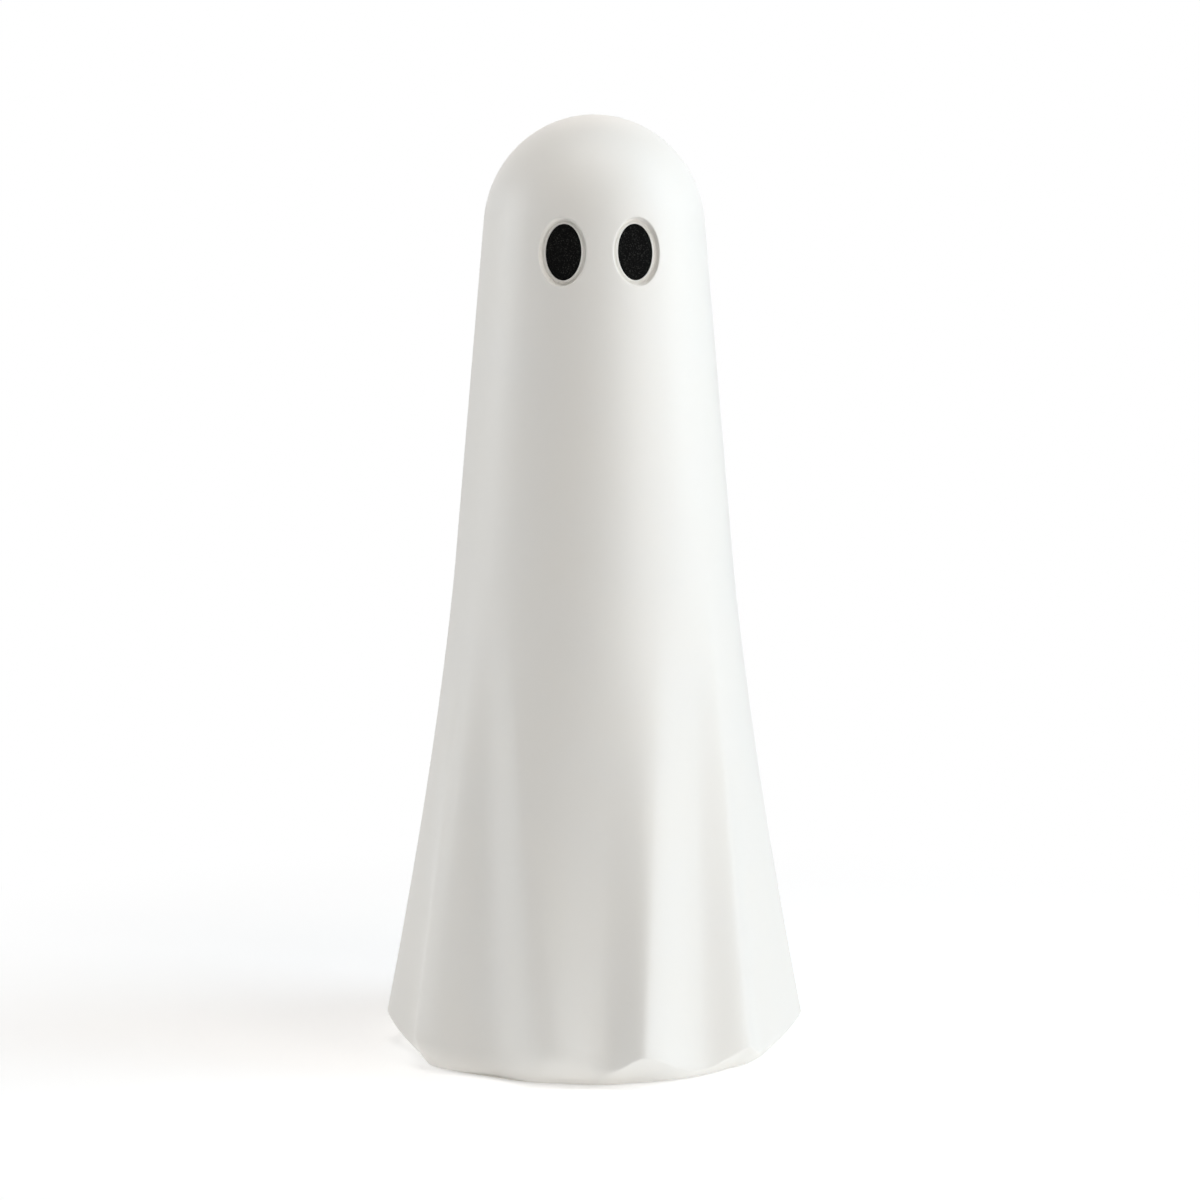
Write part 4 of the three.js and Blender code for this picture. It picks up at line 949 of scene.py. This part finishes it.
def eye_insert(side):
    """An insert in its place. Its rim is drawn out by a fixed length, not by a share."""
    bm = turned(INSERT_PROFILE, OVAL_STEPS)
    for vert in bm.verts:
        vert.co.y *= 1 + (INSERT_H - INSERT_W) / 2 * MM / max(SPIGOT_R * MM, vert.co.xy.length)
        vert.co.z -= INSERT_SINK * MM
    place = Matrix.Scale(MM, 4) @ eye_frame(side) @ Matrix.Scale(1 / MM, 4)
    bmesh.ops.transform(bm, matrix=place, verts=bm.verts)
    return bm


make_piece(eye_insert(1), "left_eye_insert", "left_eye")
make_piece(eye_insert(-1), "right_eye_insert", "right_eye")

# %% Foot pads
PAD_PROFILE = [(0, 0.25), (2.2, 0.25, 0.1), (2.5, 0, 0.15), (4.5, 0, 0.4), (4.5, 1.7, 0.2), (0, 1.7)]
for number in range(1, 5):
    node = f"foot_pad_{number}"
    make_piece(stand(turned(PAD_PROFILE), node), f"rubber_pad_{number}", node)

# %% [markdown]
# A pan head screw has a punched cross. It is spun with 24 sides, so that the ring round the
# head's middle has a point at each corner of the cross. The ring is moved straight to the
# cross's outline, and from there goes down to a smaller cross.

# %% Screws
SCREW_STEPS = 24
CROSS_REACH, CROSS_DEPTH = 0.56, 0.65  # of the head's radius and height
CROSS_WIDTH = math.tan(math.tau / SCREW_STEPS)  # an arm's half width, of its reach
CROSS_NARROWING = 0.55
ON_ARM = 0.01  # so near an arm's middle line, a ray leaves by its end
FLAT_SHARE, EDGE_SHARE = 0.72, 0.12  # of the head's radius, and how far its dome falls, of its height
POINT_R = 0.25


def cross_point(turn, reach):
    """Where a ray from the middle meets the outline of a cross."""
    off = abs((turn + math.pi / 4) % (math.pi / 2) - math.pi / 4)  # from the nearest arm
    end = reach / math.cos(off)
    return min(end, reach * CROSS_WIDTH / math.sin(off)) if off > ON_ARM else end


def screw(head_r, head_h, shank_r, length):
    """A screw with the middle of its head's face at the origin and its point up."""
    tip = head_h + length
    bm = turned([
        (FLAT_SHARE * head_r, 0), (head_r, EDGE_SHARE * head_h, head_h / 2), (head_r, head_h, 0.1),
        (shank_r, head_h), (shank_r, tip - shank_r, 0.3), (POINT_R, tip, 0.1), (0, tip),
    ], SCREW_STEPS)
    loop = open_edges(bm)
    for narrowing, depth in ((1, 0), (CROSS_NARROWING, CROSS_DEPTH * head_h)):
        loop, verts = new_ring(bm, loop)
        for vert in verts:
            turn = math.atan2(vert.co.y, vert.co.x)
            reach = cross_point(turn, CROSS_REACH * head_r) * narrowing * MM
            vert.co = (reach * math.cos(turn), reach * math.sin(turn), depth * MM)
    bmesh.ops.edgeloop_fill(bm, edges=loop)
    return bm


INNER_SCREWS = [f"{place}_screw_{n}" for place in ("case", "board", "led_board") for n in (1, 2)]
# Nodes, head radius and height, shank radius and length, and the way the points look.
SCREWS = (
    ([f"base_screw_{n}" for n in range(1, 5)], (3, 1.6, 1.4, 12), UP),
    (["door_screw"], (2.4, 1.3, 1.3, 6), UP),
    (INNER_SCREWS, (2.3, 1.3, 1.1, 6), DOWN),
)
for names, size, way in SCREWS:
    for node in names:
        make_piece(stand(screw(*size), node, way), f"{node}_cross_head", node)

# %% [markdown]
# A cell is a steel can in a shrink sleeve that curls in over both ends. The button end has a
# raised steel cap. The sleeve and the bare steel are two finishes on one mesh.

# %% Cells, lamps and capacitor
CELL_PROFILE = [
    (0, 0.2), (4.7, 0.2, 0.1), (4.9, 0, 0.1), (7.1, 0, 0.6), (7.1, 49.5, 0.6), (5.6, 49.5, 0.1),
    (5.5, 49.2, 0.1), (3, 49.2, 0.2), (2.7, 50.5, 0.4), (0, 50.5),
]
LED_PROFILE = [(0, 0), (2.9, 0, 0.1), (2.9, 1, 0.15), (2.5, 1, 0.1), (2.5, 7.9, 2.4), (0, 7.9)]
CAPACITOR_PROFILE = [
    (0, 0), (2.5, 0, 0.3), (2.5, 0.8, 0.1), (2.2, 1.1, 0.2), (2.5, 1.4, 0.1), (2.5, 7, 0.3), (1.9, 7),
    (1.8, 6.9), (0, 6.9),
]
CELL_SLEEVE_END, CAN_SLEEVE_END = 5.55, 2  # radii inside which the ends are bare


def paint_inside(bm, radius):
    """Give the second finish to the faces of both ends that lie within a radius."""
    for face in bm.faces:
        inside = all(vert.co.xy.length < radius * MM for vert in face.verts)
        face.material_index = 1 if inside else 0
    return bm


for number, way in ((1, 1), (2, -1), (3, 1)):
    node = f"battery_cell_{number}"
    cell = stand(paint_inside(turned(CELL_PROFILE), CELL_SLEEVE_END), node, (0, way, 0))
    make_piece(cell, f"sleeved_cell_{number}", node, FINISHES["contact_nickel"])
for number in range(1, 5):
    make_piece(stand(turned(LED_PROFILE), f"led_{number}"), f"lamp_{number}", f"led_{number}")
can = paint_inside(turned(CAPACITOR_PROFILE), CAN_SLEEVE_END)
make_piece(stand(can, "capacitor"), "sleeved_capacitor", "capacitor", FINISHES["contact_nickel"])

# %% [markdown]
# ## Moulded and cut pieces
# The plate, door, case, switch and boards have the right shape already, but their edges are
# perfectly sharp. A mould's edges are always a little round, and a cut board's are broken. Each
# is copied, its loose triangles are joined into whole faces, and its edges are bevelled.

# %% Copies with soft edges
EDGE_OVER = math.radians(50)  # edges that are sharper than this are bevelled
FLAT_WITHIN = math.radians(0.5)  # triangles this much in line are one face
EDGE_WIDTHS = {
    "base_plate": 0.3, "battery_door": 0.3, "battery_case": 0.3, "switch_body": 0.2,
    "switch_slider": 0.25, "timer_chip": 0.08, "control_board": 0.12, "led_board": 0.12,
}


def soften_edges(bm, edges, width):
    bmesh.ops.bevel(bm, geom=edges, affect="EDGES", offset=width * MM, segments=2, profile=0.5,
                    clamp_overlap=True, material=-1)


def whole_copy(node):
    """A node's mesh with its triangles joined."""
    bm = bmesh.new()
    bm.from_mesh(nodes[node].data)
    bmesh.ops.remove_doubles(bm, verts=bm.verts, dist=MERGE_WITHIN * MM)
    bmesh.ops.dissolve_limit(bm, angle_limit=FLAT_WITHIN, verts=bm.verts, edges=bm.edges)
    return bm


for node, width in EDGE_WIDTHS.items():
    copied = whole_copy(node)
    sharp = [edge for edge in copied.edges if edge.is_manifold and edge.calc_face_angle() > EDGE_OVER]
    soften_edges(copied, sharp, width)
    make_piece(copied, f"soft_{node}", node, flat_faces=True)

# %% [markdown]
# ## Contacts and leads
# Each contact is stamped from nickel plated strip: a plate with a round dimple for a cell's
# button, a spring for its flat end, and a tab where a lead is soldered. The spring is a wire: a
# circle is extruded along the route and turned with it. Each lead keeps its route and is rounded
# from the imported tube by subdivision, with its cut ends left square.

# %% Wires
WIRE_SIDES = 12


def add_wire(bm, points, radius):
    """A round wire through points in millimetres."""
    verts = bmesh.ops.create_circle(bm, segments=WIRE_SIDES, radius=radius * MM)["verts"]
    loop = list({edge for vert in verts for edge in vert.link_edges})
    first, here, way = loop, Matrix.Identity(4), Vector((0, 0, 1))
    for number, point in enumerate(points):
        ahead = points[min(number + 1, len(points) - 1)] - points[max(number - 1, 0)]
        turn = (way.rotation_difference(ahead).to_matrix() @ here.to_3x3()).to_4x4()
        there = Matrix.Translation(point * MM) @ turn
        if number:
            loop, verts = new_ring(bm, loop)
        bmesh.ops.transform(bm, matrix=there @ here.inverted(), verts=verts)
        here, way = there, ahead
    bmesh.ops.edgeloop_fill(bm, edges=first)
    bmesh.ops.edgeloop_fill(bm, edges=loop)


def add_block(bm, low, high, soft):
    """A block between two corners in millimetres, with soft edges."""
    low, high = Vector(low), Vector(high)
    shape = Matrix.Translation((low + high) / 2 * MM) @ Matrix.Diagonal((*(high - low) * MM, 1))
    verts = bmesh.ops.create_cube(bm, size=1, matrix=shape)["verts"]
    soften_edges(bm, list({edge for vert in verts for edge in vert.link_edges}), soft)


# %% Contacts
CELL_X, CELL_Z = (-22.9, -8.0, 6.9), 11.1
CONTACT_Y, CONTACT_T, CONTACT_HALF = 28.8, 0.4, 5.5  # inner face, thickness and half size
STRIP_ROUND = 0.1
TAB_HALF, TAB_TOP = 1.5, 22.5
SPRING_LENGTH, SPRING_BASE_R, SPRING_TIP_R, SPRING_WIRE, SPRING_TURNS = 6, 4.2, 2.6, 0.8, 3.5
STEPS_PER_TURN = 36
DIMPLE_PROFILE = [(0, 0.5), (1.5, 0.5, 0.5), (2.2, -0.2)]


def spring_route():
    """The middle line of a spring that narrows towards its cell."""
    steps = round(SPRING_TURNS * STEPS_PER_TURN)
    for share in (step / steps for step in range(steps + 1)):
        turn = math.tau * SPRING_TURNS * share
        radius = mix(SPRING_BASE_R, SPRING_TIP_R, share)
        height = mix(SPRING_WIRE / 4, SPRING_LENGTH - SPRING_WIRE / 2, share)
        yield Vector((radius * math.cos(turn), radius * math.sin(turn), height))


def contact(side, springs, dimples, tabs):
    """A contact on the end wall of the bay on one side, with its features at these cells."""
    bm = bmesh.new()
    inward = Matrix.Rotation(side * math.pi / 2, 4, "X")
    spots = [CELL_X[cell] for cell in springs + dimples]
    face, back = sorted((side * CONTACT_Y, side * (CONTACT_Y + CONTACT_T)))
    add_block(bm, (min(spots) - CONTACT_HALF, face, CELL_Z - CONTACT_HALF),
              (max(spots) + CONTACT_HALF, back, CELL_Z + CONTACT_HALF), STRIP_ROUND)
    for cell in tabs:
        x = CELL_X[cell]
        add_block(bm, (x - TAB_HALF, face, CELL_Z), (x + TAB_HALF, back, TAB_TOP), STRIP_ROUND)
    for cell in springs + dimples:
        spot = Matrix.Translation(Vector((CELL_X[cell], side * CONTACT_Y, CELL_Z)) * MM) @ inward
        part = bmesh.new() if cell in springs else turned(DIMPLE_PROFILE)
        if cell in springs:
            add_wire(part, list(spring_route()), SPRING_WIRE / 2)
        bmesh.ops.transform(part, matrix=spot, verts=part.verts)
        passing = bpy.data.meshes.new("passing")
        part.to_mesh(passing)
        part.free()
        bm.from_mesh(passing)
        bpy.data.meshes.remove(passing)
    return bm


make_piece(contact(1, [], [0], [0]), "plus_contact", "contact_positive")
make_piece(contact(-1, [2], [], [2]), "minus_contact", "contact_negative")
make_piece(contact(-1, [1], [0], []), "link_contact_1", "contact_link_1")
make_piece(contact(1, [1], [2], []), "link_contact_2", "contact_link_2")

# %% Leads
LEADS = ["battery_plus_lead", "battery_minus_lead", "led_plus_lead", "led_minus_lead"]
BENT_OVER, SKEWED_OVER = math.radians(40), math.radians(60)  # triangles past these aren't paired
CAP_OVER = 6  # a cut end has more corners than this, a face on the side has fewer


def round_lead(node):
    """Pair a lead's triangles and round it, with creases round its cut ends."""
    bm = whole_copy(node)
    bmesh.ops.join_triangles(bm, faces=bm.faces, angle_face_threshold=BENT_OVER,
                             angle_shape_threshold=SKEWED_OVER)
    crease = bm.edges.layers.float.new("crease_edge")
    for edge in bm.edges:
        edge[crease] = float(any(len(face.verts) > CAP_OVER for face in edge.link_faces))
    piece = make_piece(bm, f"round_{node}", node)
    rounding = piece.modifiers.new("rounding", "SUBSURF")
    rounding.levels = rounding.render_levels = 2


for node in LEADS:
    round_lead(node)
